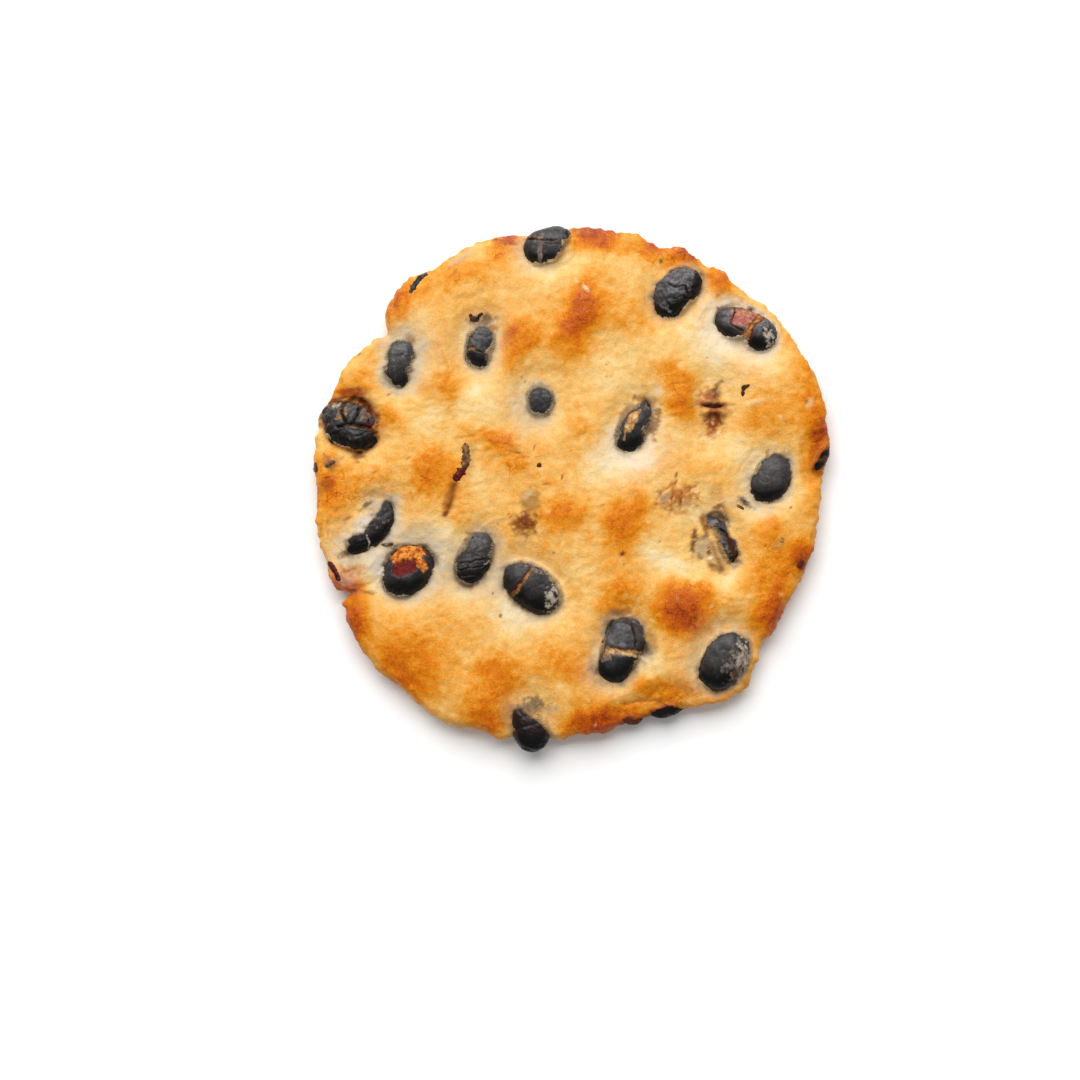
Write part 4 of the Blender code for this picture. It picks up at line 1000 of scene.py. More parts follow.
def face_surface(x, y, inset, side):
    """One face of the dough at points in plan. side is 1 for the upper face and -1 for the
    underside, and inset is the distance in from where the face turns into the rim. Returns the
    height, the toast from 0 to 1, the film over dark beans, the crazing and the paint."""
    upper = side > 0
    names, patches, seed = (BEAN_NODES, TOP_PATCHES, 3) if upper else (LOW_BEANS, UNDER_PATCHES, 43)
    spots = flat_spots(x, y)
    edge = np.clip(1 - inset / EDGE_FALL, 0, 1) ** 2
    puff, fine, lines = crust_relief(x, y, seed)
    browning, rise = patch_sums(x, y, patches)
    near = bean_nearness(x, y, names)
    height = crust_height(spots, side, edge, near, puff + rise, fine)
    toast = crust_toast(spots, browning, puff + fine, lines, near)
    film = np.zeros_like(x)
    paint = np.zeros((*np.shape(x), 4))
    for name in names:
        height, film, paint = lay_over_bean(height, film, paint, x, y, name, side)
    crazing = np.full(np.shape(x), FAINT_CRAZING)
    if upper:
        paint, height, film = paint_stains(x, y, paint, height, film)
        for oval, strength in CRAZING:
            crazing = np.maximum(crazing, strength * smooth_step(1.3, 0.6, oval_size(x, y, oval)))
    return {"height": height, "toast": toast, "film": film, "crazing": crazing, "paint": paint}


# ---------------------------------------------------------------- meshes

# How much brighter than its surface a matt thing looks in the studio, and the shine added to it.
GLOW, SHEEN = 1.2, 0.014


def linear(code):
    """The linear red, green and blue of the matt colour that looks like an sRGB hex colour in
    the studio, whose light makes it GLOW times as bright and lays a sheen of SHEEN over it."""
    parts = [int(code[i : i + 2], 16) / 255 for i in (1, 3, 5)]
    seen = [p / 12.92 if p <= 0.04045 else ((p + 0.055) / 1.055) ** 2.4 for p in parts]
    return [max(0.0, (value - SHEEN) / GLOW) for value in seen]


def laid_over(tint, colour, share):
    """A colour laid over the tint of each point by its share."""
    return tint * (1 - share[:, None]) + colour * share[:, None]


def mixed(first, second, share):
    """The mix of two named colours, as linear values for each point."""
    first, second = np.array(linear(COLOURS[first])), np.array(linear(COLOURS[second]))
    return laid_over(first, second, np.clip(share, 0, 1))


def make_piece(name, points, faces, values, finish, node=None, flat=None):
    """Makes a piece from points in mm, blocks of faces, and named values at the points: a single
    number, or four for a colour with its cover. flat gives each block its corners' places on the
    map that the finish is baked to. The piece rides on the root and stands for its CAD node."""
    mesh = bpy.data.meshes.new(name)
    loops = np.concatenate([np.ravel(block) for block in faces]).astype(np.int32)
    sizes = np.concatenate([np.full(len(block), block.shape[1]) for block in faces])
    starts = np.concatenate([[0], np.cumsum(sizes)[:-1]]).astype(np.int32)
    mesh.vertices.add(len(points))
    mesh.vertices.foreach_set("co", (points * MM).astype(np.float32).ravel())
    mesh.loops.add(len(loops))
    mesh.loops.foreach_set("vertex_index", loops)
    mesh.polygons.add(len(starts))
    mesh.polygons.foreach_set("loop_start", starts)
    mesh.update(calc_edges=True)
    for label, value in values.items():
        kind, field = ("FLOAT", "value") if value.ndim == 1 else ("FLOAT_COLOR", "color")
        store = mesh.attributes.new(label, kind, "POINT")
        store.data.foreach_set(field, value.astype(np.float32).ravel())
    if flat:
        layer = mesh.uv_layers.new(name="OFBake")
        corners = np.concatenate([block.reshape(-1, 2) for block in flat])
        layer.uv.foreach_set("vector", corners.astype(np.float32).ravel())
    mesh.shade_smooth()
    mesh.materials.append(finish)
    piece = bpy.data.objects.new(name, mesh)
    bpy.context.scene.collection.objects.link(piece)
    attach(piece, "root")
    if node:
        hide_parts(node)


def band_faces(upper, lower):
    """Quads between two rows of points; the last row's end is beside its start."""
    corners = [upper, lower, np.roll(lower, -1, -1), np.roll(upper, -1, -1)]
    return np.stack(corners, -1).reshape(-1, 4)


def tube_faces(first, count, around):
    """Faces of a closed tube of count points, the first and last of which are its ends, with
    rings of points around it between them."""
    last = first + count - 1
    rings = np.arange(first + 1, last).reshape(-1, around)
    return [
        band_faces(rings[:-1], rings[1:])[:, ::-1],
        np.stack([np.roll(rings[0], -1), rings[0], np.full(around, first)], -1),
        np.stack([rings[-1], np.roll(rings[-1], -1), np.full(around, last)], -1),
    ]


def skin_values(tint, flesh):
    """The values that bean skin reads: its tint, with full cover, and how much of it is flesh."""
    return {"tint": np.concatenate([tint, np.ones((len(tint), 1))], 1), "flesh": flesh}


# ---------------------------------------------------------------- the dough

TOP_CELLS = 256  # along each side of the upper face's grid
UNDER_CELLS = TOP_CELLS // 2
RIM_ROWS = 13
RIM_GRAIN = 0.36  # swing of the rim's roughness at 1.5 mm
MAP_SCALE = 0.32 / 44  # of the bake map, to a mm of the upper face
MAP_MIDDLE = 0.33  # of the upper face on the map
UNDER_MAP_MIDDLE = (0.175, 0.825)
LAPS = 4  # the rim is cut into, to stand side by side on the map
LAP_START, LAP_PITCH, ROW_PITCH = 0.665, 0.085, 0.005
LAP_FOOT, LAP_LENGTH = 0.01, 0.62


def disc_grid(cells):
    """A square grid pushed out to a unit disc: each square ring becomes a circle, with its
    points evenly spaced round it. Returns the share of the radius, the angle in degrees, and
    the indices of the outermost ring in order from angle 0."""
    line = np.linspace(-1, 1, cells + 1)
    x, y = np.meshgrid(line, line, indexing="ij")
    wide = np.abs(x) > np.abs(y)
    safe_x = np.where(x == 0, 1, x)
    safe_y = np.where(y == 0, 1, y)
    radius = np.where(wide, x, y)
    swing = np.where(wide, np.pi / 4 * y / safe_x, np.pi / 2 - np.pi / 4 * x / safe_y)
    px, py = radius * np.cos(swing), radius * np.sin(swing)
    angle = np.mod(np.degrees(np.arctan2(py, px)), 360)
    index = np.arange((cells + 1) ** 2).reshape(cells + 1, cells + 1)
    edge = (np.abs(x) == 1) | (np.abs(y) == 1)
    ring = index[edge]
    ring = ring[np.argsort(np.round(angle[edge], 6))]
    return np.hypot(px, py).ravel(), angle.ravel(), ring


def grid_faces(first, cells):
    """Quads of a square grid whose points start at first."""
    index = first + np.arange((cells + 1) ** 2).reshape(cells + 1, cells + 1)
    corners = [index[:-1, :-1], index[1:, :-1], index[1:, 1:], index[:-1, 1:]]
    return np.stack(corners, -1).reshape(-1, 4)


def crumbly(spots):
    """How fully the pinkish brown of the rim covers it, in crumbs of 0.5 mm."""
    return 0.3 + 1.1 * smooth_step(-0.3, 0.4, noise(spots, 0.5, 57))


def face_points(share, angle, side, past=0.0):
    """Places and values of the points of one face, by share of the radius and by angle, moved
    out by past mm for the points of the rim. The rim's stretches make it browner at the rim, and
    pinkish brown at the very edge, as bell curves of the distance in."""
    face_edge = outline_radius(angle) - RIM_DEPTH
    radius = face_edge * share + past
    x, y = radius * np.cos(np.radians(angle)), radius * np.sin(np.radians(angle))
    inset = np.maximum(face_edge - radius, 0)
    face = face_surface(x, y, inset, side)
    browning = round_the_rim(angle, RIM_BROWNING)
    face["toast"] = face["toast"] + browning * bell(inset / 2.4) + 0.04 * bell(inset / 2.5)
    red = round_the_rim(angle, RIM_REDDENING) * bell((face_edge + RIM_DEPTH - radius) / 0.9)
    face["paint"] = painted(face["paint"], red * crumbly(flat_spots(x, y)), RIM_RED)
    return {"place": np.stack([x, y, face.pop("height")], -1), **face}


def rim_points(angle):
    """Places and values of the rows of points that carry a half circle round the rim, from the
    upper face's edge to the underside's, mixed from both faces by their height. The rim is
    roughened outwards by noise at 3, 1.5 and 0.7 mm, more where the dough crumbles, and has
    thin layers."""
    swing = np.linspace(0, np.pi, RIM_ROWS + 2)[1:-1, None]
    spread = np.broadcast_to(angle, (RIM_ROWS, len(angle)))
    above = face_points(1.0, spread, 1, RIM_DEPTH * np.sin(swing))
    below = face_points(np.ones(len(angle)), angle, -1)
    blend = (1 - np.cos(swing)) / 2
    rim = {}
    for key in above:
        share = blend[..., None] if above[key].ndim > 2 else blend
        rim[key] = above[key] * (1 - share) + below[key] * share
    turn = np.radians(angle)
    outward = np.stack([np.cos(turn), np.sin(turn), np.zeros(len(angle))], -1)
    base = np.concatenate([above["place"][..., :2], rim["place"][..., 2:]], -1)
    fade = np.sin(swing) ** 0.5
    rough = noises(base, (0.24, 3.0, 51), (RIM_GRAIN, 1.5, 52), (0.18, 0.7, 53))
    rough = rough * (0.8 + round_the_rim(angle, RIM_CRUMBLING) / RIM_GRAIN)
    layers = -0.28 * creased_noise(base, (5, 5, 1.1), 54) ** 3
    rim["place"] = base + (fade * (rough + layers))[..., None] * outward
    browned = 0.5 * round_the_rim(angle, RIM_BROWNING) + 0.30 * rough + 0.16 * noise(base, 1.2, 56)
    rim["toast"] = rim["toast"] + 0.5 * fade * browned
    red = round_the_rim(angle, RIM_REDDENING) * fade * crumbly(base)
    rim["paint"] = painted(rim["paint"], red, RIM_RED)
    return {key: value.reshape(-1, *value.shape[2:]) for key, value in rim.items()}


def dough_faces(ring, under_ring):
    """Faces of the whole skin, whose points are those of the upper face, the rim and the
    underside in turn: the upper grid, the bands of the rim, the lower grid turned over, and
    three triangles at each of its edge points, which has two of the rim's beside it."""
    first_rim = (TOP_CELLS + 1) ** 2
    first_under = first_rim + RIM_ROWS * len(ring)
    rows = np.concatenate([[ring], np.arange(first_rim, first_under).reshape(RIM_ROWS, -1)])
    under = first_under + under_ring
    under_next = np.roll(under, -1)
    even, odd = rows[-1, 0::2], rows[-1, 1::2]
    even_next = np.roll(even, -1)
    corners = [even, under, odd, odd, under, under_next, odd, under_next, even_next]
    return [
        grid_faces(0, TOP_CELLS),
        band_faces(rows[:-1], rows[1:]),
        grid_faces(first_under, UNDER_CELLS)[:, ::-1],
        np.stack(corners, -1).reshape(-1, 3),
    ]


def rim_map(step, down, count):
    """Places on the bake map of corners of the rim, by their steps round it and rows down it:
    each lap of the rim is an upright strip."""
    lap_steps = count // LAPS
    lap = step[:, :1] // lap_steps
    across = LAP_START + LAP_PITCH * lap + ROW_PITCH * down
    along = LAP_FOOT + LAP_LENGTH * (step - lap * lap_steps) / lap_steps
    return np.stack(np.broadcast_arrays(across, along), -1)


def dough_map(plan, faces, count):
    """Places of all corners on the bake map: both faces in plan, the underside at half the
    scale, and the rim's laps beside them."""
    step = np.arange(count)[:, None] + np.array([0, 0, 1, 1])
    down = np.arange(RIM_ROWS)[:, None, None] + np.array([0, 1, 1, 0])
    last_step = 2 * np.arange(count // 2)[:, None] + np.array([0, 0, 1, 1, 0, 2, 1, 2, 2])
    last_down = RIM_ROWS + np.array([0, 1, 0, 0, 1, 1, 0, 1, 0])
    return [
        (plan * MAP_SCALE + MAP_MIDDLE)[faces[0]],
        rim_map(step, down, count),
        (plan * MAP_SCALE * (0.5, -0.5) + UNDER_MAP_MIDDLE)[faces[2]],
        rim_map(last_step, last_down, count),
    ]


def make_dough(finish):
    """The dough as one closed skin: a disc grid for each face, and rows of points between them
    round the rim."""
    share, angle, ring = disc_grid(TOP_CELLS)
    under_share, under_angle, under_ring = disc_grid(UNDER_CELLS)
    parts = [
        face_points(share, angle, 1),
        rim_points(angle[ring]),
        face_points(under_share, under_angle, -1),
    ]
    values = {key: np.concatenate([part[key] for part in parts]) for key in parts[0]}
    places = values.pop("place")
    faces = dough_faces(ring, under_ring)
    flat = dough_map(places[:, :2], faces, len(ring))
    make_piece("dough_crust", places, faces, values, finish, "dough", flat=flat)


# ---------------------------------------------------------------- the beans and their shreds

BEAN_ROUND, BEAN_ALONG = 128, 88


def bean_body(name):
    """A bean's points about its middle, ring by ring along it with a pole at each end, with the
    way out of its surface and how far each point is from the poles: an oval, plump and
    egg-shaped along its length, and pressed flat where the dough covers it."""
    middle, half, turn = SEATS[name]
    ways = np.linspace(-np.pi / 2, np.pi / 2, BEAN_ALONG + 1)[1:-1]
    spins = np.linspace(0, 2 * np.pi, BEAN_ROUND, endpoint=False)
    way, spin = np.meshgrid(ways, spins, indexing="ij")
    unit = np.stack([np.sin(way), np.cos(way) * np.cos(spin), np.cos(way) * np.sin(spin)], -1)
    unit = np.concatenate([[[-1, 0, 0]], unit.reshape(-1, 3), [[1, 0, 0]]])
    plump = unit / np.sum(np.abs(unit) ** PLUMPNESS, -1, keepdims=True) ** (1 / PLUMPNESS)
    egg = 1 + EGG * plump[:, :1]
    body = plump * half * np.concatenate([np.ones_like(egg), egg, egg], -1)
    out = unit / half
    out = out / np.linalg.norm(out, axis=-1, keepdims=True)
    place, out = body @ unturned(turn).T, out @ unturned(turn).T
    kept = pressed(place[:, 0] + middle[0], place[:, 1] + middle[1], name)
    place[:, 2] = place[:, 2] * np.where(place[:, 2] > 0, kept, 1)
    return place, out, smooth_step(1.0, 0.94, np.abs(unit[:, 0]))


def skin_tint(place, out, look, seed):
    """A bean's skin: near black, with a greyish bloom in rubbed patches that is kept on the faces
    turned up and towards +Y, where the key light falls, as a painted highlight; darker in scorched
    patches, and darker as painted shade on its sides, on faces turned to -Y and towards its -Y end."""
    # part scorched patches by noise, and part painted shade where the skin turns away from straight
    # up
    char_and_shade = 0.3 + 0.5 * noise(place, 2.4, seed + 20) + 0.5 * smooth_step(0.75, 0.2, out[:, 2])
    # painted shade on the faces turned towards -Y, away from the key light
    char_and_shade = char_and_shade + 0.75 * smooth_step(0.15, -0.6, out[:, 1])
    # painted shade towards the bean's -Y end
    char_and_shade = char_and_shade + 0.5 * smooth_step(-0.5, -3.0, place[:, 1] + noise(place, 1.5, seed + 23))
    bloom_and_highlight = smooth_step(-0.4, 0.8, noises(place, (1, 1.6, seed + 21), (0.7, 0.5, seed + 22)))
    bloom_and_highlight = 0.8 * look.bloom_and_highlight * (0.35 + 0.65 * bloom_and_highlight)
    # painted highlight: the grey is kept only on faces turned up and towards +Y, where the key light
    # falls
    bloom_and_highlight = bloom_and_highlight * smooth_step(0.40, 1.0, 0.75 * out[:, 2] + 0.65 * out[:, 1])
    return laid_over(mixed(look.skin, "char_and_shade", char_and_shade), linear(COLOURS["bloom_and_highlight"]), bloom_and_highlight)


def make_bean(name, finish):
    """A black soybean as a closed skin of rings with a pole at each end. Noise wrinkles it,
    splits are grooves with raised lips, peeled places lie deeper and show flesh, and flour
    clings to it just inside the opening."""
    look, middle, seed = LOOKS[name], SEATS[name].middle, bean_seed(name)
    place, out, ends = bean_body(name)
    x, y = place[:, 0] + middle[0], place[:, 1] + middle[1]
    facing = smooth_step(-0.1, 0.35, out[:, 2])
    bent = place + 0.6 * noise(place + 40, 3, seed)[:, None]
    creases = creased_noise(bent, (2.4, 1.3, 1.6), seed + 3) ** 2
    creases = creases + 0.5 * creased_noise(bent, 0.9, seed + 4)
    push = bean_swell(place, look, seed) - look.wrinkle * creases * ends

    edge = opening_gap(x, y, name, 1) + 0.4 * noise(place, 0.5, seed + 30)
    dusty = look.dust * facing * smooth_step(-0.8, 0.2, edge)
    dust = mixed("dust", "dull_skin", 0.4 + 0.5 * noise(place, 0.8, seed + 31))
    tint = laid_over(skin_tint(place, out, look, seed), dust, dusty)
    flesh = 0.7 * dusty
    mottle = noises(place, (1, 0.8, seed + 7), (0.6, 0.4, seed + 8))
    blotch = smooth_step(-0.5, 0.5, noises(place, (1, 0.8, seed + 9), (0.6, 0.35, seed + 10)))
    for peel in look.peels:
        size = oval_size(x, y, peel.oval, peel.corner)
        mask = smooth_step(1.12, 0.88, size + peel.ragged * mottle) * facing
        push = push - (peel.depth - 0.06 * mottle * (peel.depth > 0)) * mask
        tint = laid_over(tint, mixed(*peel.colours, blotch), mask)
        flesh = np.maximum(flesh, mask)
    wavy = noises(place, (0.18, 1.1, seed + 12), (0.10, 0.5, seed + 13))
    for crack in look.cracks:
        away = path_distance(x + wavy, y - wavy, crack.path) / crack.width
        push = push - crack.depth * (bell(away / 0.75) - 0.25 * bell((away - 1.5) / 0.6)) * facing
        mask = smooth_step(1.0, 0.6, away + 0.25 * mottle) * facing
        tint = laid_over(tint, mixed(crack.flesh, "brown", 0.6 * blotch), mask)
        flesh = np.maximum(flesh, mask)
    place = place + push[:, None] * out + middle
    faces = tube_faces(0, len(place), BEAN_ROUND)
    values = skin_values(tint, flesh)
    make_piece(f"soybean_{name[-2:]}", place, faces, values, finish, name)


class Shred(NamedTuple):
    """A shred of bean skin lying on the dough: its path, greatest width, and two colours."""

    path: tuple
    width: float
    colours: tuple


SHREDS = [Shred(*row) for row in (
    (((-25.8, 31.3), (-25.1, 32.6), (-24.1, 34), (-22.7, 34.8)), 0.95, ("char_and_shade", "dull_skin")),
    (((-17, 7.4), (-16.8, 5.8), (-16.8, 4.4), (-17.2, 2.8)), 1.2, ("brown", "tan")),
    (((-16.8, 3.6), (-18, 2.2), (-18.8, 1.3)), 1.4, ("red_brown", "char_and_shade")),
    (((27.35, 14.7), (27.4, 15.6), (27.6, 16.2), (28.5, 16.6)), 0.6, ("brown_skin", "char_and_shade")),
    (((-16.2, 28), (-15.7, 27.2), (-14.7, 27.1)), 0.9, ("brown", "char_and_shade")),
    (((-15, 27.5), (-14.2, 28.1)), 0.5, ("brown", "char_and_shade")),
    (((36.3, -12.8), (37.3, -11.6)), 1.1, ("brown_skin", "red_brown")),
    (((-39, -11.6), (-38, -13.1), (-36.9, -14.8)), 0.9, ("dark_pink", "char_and_shade")),
    (((-41, 2.6), (-41.1, 4.3)), 0.8, ("brown_skin", "skin")),
    (((-39.3, 3.5), (-38.6, 4.1), (-37.8, 4.3)), 0.6, ("brown", "grey_film")),
    (((-5.5, 3.7), (-4.8, 3.9)), 0.7, ("red_brown", "brown_skin")),
    (((33.5, -8.6), (33.9, -7.8)), 0.7, ("brown", "tan")),
    (((27, -1.4), (28.3, -2.6)), 0.5, ("grey_film", "brown")),
    (((26.4, -2.6), (27.6, -3.3)), 0.45, ("brown", "grey_film")),
    (((-30.6, -9), (-28.4, -8.8)), 0.5, ("brown", "grey_film")),
)]
SHRED_STEPS, SHRED_ROUND = 25, 12
SHRED_LIFT, SHRED_HALF = 0.03, 0.13  # of its middle over the dough, and half its thickness


def shred_surface(shred, seed):
    """Places and tint of one shred's points: a flat closed tube along its bent path, narrowing
    to a point at both ends, whose every point lies on the dough below it. Past the upper face
    the dough's height falls in a quarter circle to the middle of the rim."""
    share = np.linspace(0, 1, SHRED_STEPS)
    path = np.array(shred.path, float)
    run = np.linspace(0, 1, len(path))
    line = np.stack([np.interp(share, run, path[:, axis]) for axis in (0, 1)], -1)
    line = line + 0.12 * noise(np.pad(line, ((0, 0), (0, 1))), 1.2, 300 + seed)[:, None]
    along = np.gradient(line, axis=0)
    along = along / np.linalg.norm(along, axis=1, keepdims=True)

    share = share[1:-1, None]
    spin = np.linspace(0, 2 * np.pi, SHRED_ROUND, endpoint=False)
    swell = (1 - (2 * share - 1) ** 4) ** 0.7
    ragged = 1 + 0.5 * noise(np.pad(line, ((0, 0), (0, 1))), 0.5, 320 + seed)[1:-1, None]
    round_it = np.stack(np.broadcast_arrays(8 * share, np.cos(spin), np.sin(spin)), -1)
    frayed = 1 + 0.35 * noise(round_it, 0.5, seed)
    reach = shred.width / 2 * swell * ragged * frayed * np.cos(spin)
    x = line[1:-1, :1] - along[1:-1, 1:] * reach
    y = line[1:-1, 1:] + along[1:-1, :1] * reach
    x = np.concatenate([line[:1, 0], x.ravel(), line[-1:, 0]])
    y = np.concatenate([line[:1, 1], y.ravel(), line[-1:, 1]])

    inset = outline_radius(np.degrees(np.arctan2(y, x))) - RIM_DEPTH - np.hypot(x, y)
    height = face_surface(x, y, np.maximum(inset, 0), 1)["height"]
    over_rim = np.clip(-inset / RIM_DEPTH, 0, 1)
    height = RIM_MIDDLE + (height - RIM_MIDDLE) * np.sqrt(1 - over_rim**2)
    height = height + 0.08 * noise(flat_spots(x, y), 0.7, 340)
    lift = (swell * (SHRED_LIFT + SHRED_HALF * np.sin(spin))).ravel()
    place = np.stack([x, y, height + np.pad(lift, 1)], -1)
    blotch = smooth_step(-0.4, 0.5, noise(place, 0.6, 350 + seed))
    return place, mixed(*shred.colours, blotch)


def make_shreds(finish):
    """All the shreds of bean skin as one piece."""
    shreds = [shred_surface(shred, i) for i, shred in enumerate(SHREDS)]
    places, tints = (np.concatenate(part) for part in zip(*shreds))
    count = len(places) // len(SHREDS)
    faces = [
        block
        for first in range(0, len(places), count)
        for block in tube_faces(first, count, SHRED_ROUND)
    ]
    values = skin_values(tints, np.full(len(tints), 0.3))
    make_piece("bean_skin_shreds", places, faces, values, finish)


# ---------------------------------------------------------------- finishes

ATTRIBUTE, MATH, VECTOR = "ShaderNodeAttribute", "ShaderNodeMath", "ShaderNodeVectorMath"
NOISE, CELLS, RANGE = "ShaderNodeTexNoise", "ShaderNodeTexVoronoi", "ShaderNodeMapRange"
TIMES, PLUS_TIMES = {"operation": "MULTIPLY"}, {"operation": "MULTIPLY_ADD"}


def per_mm(size):
    """The scale of a pattern whose lumps or cells are size mm across."""
    return 1 / (size * MM)


def add(tree, kind, settings=None, links=None, out=0):
    """Adds a shader node and returns one of its outputs. The settings are the node's own
    properties or else the values of its sockets, with "stops" for a ramp's places and colours,
    and the links are outputs that feed its sockets."""
    node = tree.nodes.new(kind)
    for key, value in (settings or {}).items():
        if key == "stops":
            while len(node.color_ramp.elements) < len(value):
                node.color_ramp.elements.new(0.5)
            for element, (position, code) in zip(node.color_ramp.elements, value):
                element.position = position
                element.color = (*linear(code), 1)
        elif isinstance(key, str) and hasattr(node, key):
            setattr(node, key, value)
        else:
            node.inputs[key].default_value = value
    for key, source in (links or {}).items():
        tree.links.new(source, node.inputs[key])
    return node.outputs[out]


def new_finish(name, ior, shine):
    """A new material, its node tree and its shader, with the shader's IOR and specular level."""
    finish = bpy.data.materials.new(name)
    finish.use_nodes = True
    shader = finish.node_tree.nodes["Principled BSDF"]
    shader.inputs["IOR"].default_value = ior
    shader.inputs["Specular IOR Level"].default_value = shine
    return finish, finish.node_tree, shader


# From the palest, steamed dough to the most toasted.
TOAST_COLOURS = [
    (0.00, "#FCE8C4"), (0.14, "#FDDDA2"), (0.28, "#FACC7E"), (0.40, "#F7B962"), (0.52, "#F1A23C"),
    (0.63, "#E88B1E"), (0.73, "#DA7414"), (0.83, "#C65E14"), (0.92, "#AE4A13"), (1.00, "#963C13"),
]
# Size of their cells in mm, colour, share of the cells without one, widest reach in cells, and
# strength: scorched specks, and then pale glints, which are a painted highlight on the crust.
SPECKS_AND_GLINTS = [(1.6, "#9A4A14", 0.80, 0.16, 0.7), (1.1, "#FBE6C4", 0.78, 0.18, 0.45)]
UNDER_FILM = "#332D29"  # the dark of a bean seen through a film of dough


def toasted_crust():
    """Toasted rice dough: steamed rice pounded to a paste, dried and baked until it puffs. The
    skin is satin and leathery, cream where it lay low and orange to brown where it rose to the
    heat, mottled at 1.3, 0.5 and 0.2 mm, with hairline wrinkles and scorched specks, and with pale
    glints of up to half a millimetre painted on as highlights. Its pores swallow much of the shine."""
    finish, tree, shader = new_finish("toasted_rice_dough", 1.45, 0.2)
    shader.inputs["Subsurface Weight"].default_value = 0.10
    shader.inputs["Subsurface Radius"].default_value = (1.0, 0.5, 0.2)
    shader.inputs["Subsurface Scale"].default_value = 0.6 * MM
    where = add(tree, "ShaderNodeTexCoord", out="Object")

    # Toast mottled by noise, more where it is toasted.
    toast = add(tree, ATTRIBUTE, {"attribute_name": "toast"}, out="Fac")
    uneven = add(tree, MATH, {"operation": "ADD", 1: 0.35, "use_clamp": True}, {0: toast})
    for size, swing in ((1.3, 0.18), (0.5, 0.20), (0.2, 0.36)):
        grain = add(tree, NOISE, {"Scale": per_mm(size), "Detail": 2.0}, {"Vector": where})
        swung = add(tree, MATH, {**PLUS_TIMES, 1: swing, 2: -swing / 2}, {0: grain})
        toast = add(tree, MATH, PLUS_TIMES, {0: swung, 1: uneven, 2: toast})

    # It is darker along the hairline wrinkles of the crazed places.
    bend = add(tree, NOISE, {"Scale": per_mm(1.6), "Detail": 2.0}, {"Vector": where}, out="Color")
    bent = add(tree, VECTOR, {**PLUS_TIMES, 1: (1.4 * MM,) * 3}, {0: bend, 2: where})
    edges = {"feature": "DISTANCE_TO_EDGE", "Scale": per_mm(1.9)}
    lines = add(tree, CELLS, edges, {"Vector": bent})
    lines = add(tree, RANGE, {1: 0.06, 2: 0.0, 3: 0.0, 4: 1.0}, {0: lines})
    some = add(tree, NOISE, {"Scale": per_mm(2.4), "Detail": 1.0}, {"Vector": where})
    some = add(tree, RANGE, {1: 0.46, 2: 0.62}, {0: some})
    crazing = add(tree, ATTRIBUTE, {"attribute_name": "crazing"}, out="Fac")
    lines = add(tree, MATH, TIMES, {0: lines, 1: some})
    lines = add(tree, MATH, TIMES, {0: lines, 1: crazing})
    toast = add(tree, MATH, {**PLUS_TIMES, 1: 0.26}, {0: lines, 2: toast})
    colour = add(tree, "ShaderNodeValToRGB", {"stops": TOAST_COLOURS}, {0: toast})

    # The paint of halos, stains and splits, which the fine grain shows through.
    paint = tree.nodes.new(ATTRIBUTE)
    paint.attribute_name = "paint"
    bare = add(tree, MATH, {"operation": "SUBTRACT", 0: 1.0}, {1: paint.outputs["Alpha"]})
    colour = add(tree, VECTOR, PLUS_TIMES, {0: colour, 1: bare, 2: paint.outputs["Color"]})
    grain = add(tree, NOISE, {"Scale": per_mm(0.30), "Detail": 3.0}, {"Vector": where})
    shade = add(tree, RANGE, {1: 0.3, 2: 0.7, 3: 0.93, 4: 1.06}, {0: grain})
    colour = add(tree, VECTOR, TIMES, {0: colour, 1: shade})

    # A film of dough over a bean: it darkens as it thins, in a grainy way.
    film = add(tree, ATTRIBUTE, {"attribute_name": "film"}, out="Fac")
    fuzz = add(tree, NOISE, {"Scale": per_mm(0.2), "Detail": 1.0}, {"Vector": where})
    grainy = add(tree, RANGE, {1: 0.38, 2: 0.62, 3: 0.6, 4: 1.3}, {0: fuzz})
    film = add(tree, MATH, TIMES, {0: film, 1: grainy})
    share = add(tree, RANGE, {1: 0.04, 2: 0.9}, {0: film})
    cover = {"data_type": "RGBA", 7: (*linear(UNDER_FILM), 1)}
    colour = add(tree, "ShaderNodeMix", cover, {0: share, 6: colour}, out=2)

    # Scorched specks, and pale glints painted as highlights, each in a fifth of its own cells.
    for size, code, least, widest, strength in SPECKS_AND_GLINTS:
        cells = tree.nodes.new(CELLS)
        cells.inputs["Scale"].default_value = per_mm(size)
        tree.links.new(bent, cells.inputs["Vector"])
        reach = {1: least, 2: 1.0, 3: 0.0, 4: widest}
        reach = add(tree, RANGE, reach, {0: cells.outputs["Color"]})
        inside = {0: reach, 1: cells.outputs["Distance"]}
        inside = add(tree, MATH, {"operation": "SUBTRACT"}, inside)
        share = add(tree, RANGE, {1: 0.0, 2: 0.04, 3: 0.0, 4: strength}, {0: inside})
        cover = {"data_type": "RGBA", 7: (*linear(code), 1)}
        colour = add(tree, "ShaderNodeMix", cover, {0: share, 6: colour}, out=2)
    tree.links.new(colour, shader.inputs["Base Color"])

    # Toasted places are glossier, and the grain and the hairlines are felt.
    rough = add(tree, RANGE, {1: 0.2, 2: 0.9, 3: 0.62, 4: 0.44}, {0: toast})
    tree.links.new(rough, shader.inputs["Roughness"])
    relief = add(tree, NOISE, {"Scale": per_mm(0.9), "Detail": 3.0}, {"Vector": bent})
    relief = add(tree, MATH, {**PLUS_TIMES, 1: 0.45}, {0: grain, 2: relief})
    relief = add(tree, MATH, {**PLUS_TIMES, 1: -0.4}, {0: lines, 2: relief})
    raised = {"Strength": 0.7, "Distance": 0.17 * MM}
    bump = add(tree, "ShaderNodeBump", raised, {"Height": relief})
    tree.links.new(bump, shader.inputs["Normal"])
    return finish


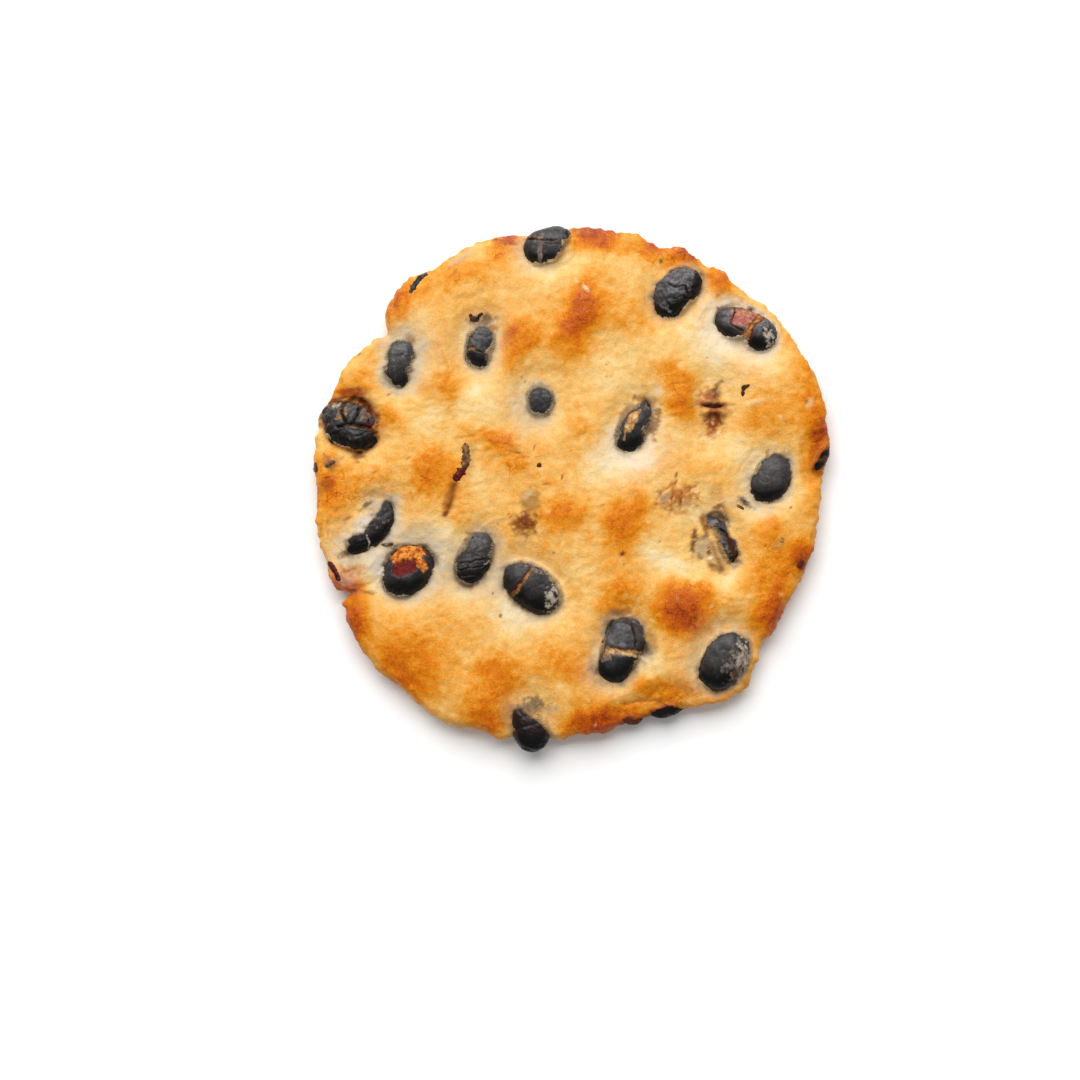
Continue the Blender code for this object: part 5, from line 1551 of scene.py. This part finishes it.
def bean_skin():
    """Roasted black soybean skin: a thin, nearly black seed coat, dried until it wrinkles and
    splits. It is satin, with little shine; the tint it reads carries a greyish bloom with a
    painted highlight, and painted shade. The flesh in its splits is matt."""
    finish, tree, shader = new_finish("roasted_black_soybean", 1.5, 0.22)
    where = add(tree, "ShaderNodeTexCoord", out="Object")
    tint = add(tree, ATTRIBUTE, {"attribute_name": "tint"}, out="Color")
    flesh = add(tree, ATTRIBUTE, {"attribute_name": "flesh"}, out="Fac")
    fine = add(tree, NOISE, {"Scale": per_mm(0.35), "Detail": 3.0}, {"Vector": where})
    shade = add(tree, RANGE, {1: 0.3, 2: 0.7, 3: 0.7, 4: 1.35}, {0: fine})
    colour = add(tree, VECTOR, TIMES, {0: tint, 1: shade})
    tree.links.new(colour, shader.inputs["Base Color"])
    rough = add(tree, RANGE, {1: 0.0, 2: 1.0, 3: 0.38, 4: 0.65}, {0: flesh})
    tree.links.new(rough, shader.inputs["Roughness"])
    raised = {"Strength": 0.4, "Distance": 0.07 * MM}
    bump = add(tree, "ShaderNodeBump", raised, {"Height": fine})
    tree.links.new(bump, shader.inputs["Normal"])
    return finish


# ---------------------------------------------------------------- the studio

FLOOR_HALF = 3.0  # half the floor's width, in metres like all of the studio
PAPER = (0.94, 0.94, 0.94, 1)
KEY_SIZE, KEY_PLACE, KEY_WATTS = (1.5, 1.1), (-0.15, 0.85, 0.95), 25
SKY_STRENGTH = 0.36
LENS, SENSOR = 85, 36
VIEW_WIDTH = 0.1728
CAMERA_PLACE = (-0.005, -0.0082)
VIEW_HEIGHT = 4.6 * MM  # above the floor, where the view has that width


def make_studio():
    """A pale floor, a soft key light above the cracker's upper edge, and an even pale sky."""
    mesh = bpy.data.meshes.new("floor")
    corners = [(-1, -1), (1, -1), (1, 1), (-1, 1)]
    corners = [(FLOOR_HALF * x, FLOOR_HALF * y, 0) for x, y in corners]
    mesh.from_pydata(corners, [], [(0, 1, 2, 3)])
    floor = bpy.data.objects.new("floor", mesh)
    paper = bpy.data.materials.new("pale_paper")
    paper.use_nodes = True
    surface = paper.node_tree.nodes["Principled BSDF"]
    surface.inputs["Base Color"].default_value = PAPER
    surface.inputs["Roughness"].default_value = 0.9
    mesh.materials.append(paper)
    bpy.context.scene.collection.objects.link(floor)

    key = bpy.data.lights.new("key", "AREA")
    key.shape = "RECTANGLE"
    key.size, key.size_y = KEY_SIZE
    key.energy = KEY_WATTS
    lamp = bpy.data.objects.new("key", key)
    lamp.location = KEY_PLACE
    lamp.rotation_euler = Vector(KEY_PLACE).to_track_quat("Z", "Y").to_euler()
    bpy.context.scene.collection.objects.link(lamp)

    world = bpy.data.worlds.new("sky")
    world.use_nodes = True
    sky = world.node_tree.nodes["Background"]
    sky.inputs["Color"].default_value = (1, 1, 1, 1)
    sky.inputs["Strength"].default_value = SKY_STRENGTH
    bpy.context.scene.world = world
    bpy.context.scene.view_settings.view_transform = "Standard"


def make_camera():
    """Straight above, with the cracker right of and above the middle of the view."""
    lens = bpy.data.cameras.new("camera")
    lens.lens, lens.sensor_width = LENS, SENSOR
    camera = bpy.data.objects.new("camera", lens)
    camera.location = (*CAMERA_PLACE, VIEW_WIDTH * LENS / SENSOR + VIEW_HEIGHT)
    bpy.context.scene.collection.objects.link(camera)
    bpy.context.scene.camera = camera


make_camera()
make_studio()
crust, skin = toasted_crust(), bean_skin()
make_dough(crust)
for bean_node in BEAN_NODES:
    make_bean(bean_node, skin)
make_shreds(skin)
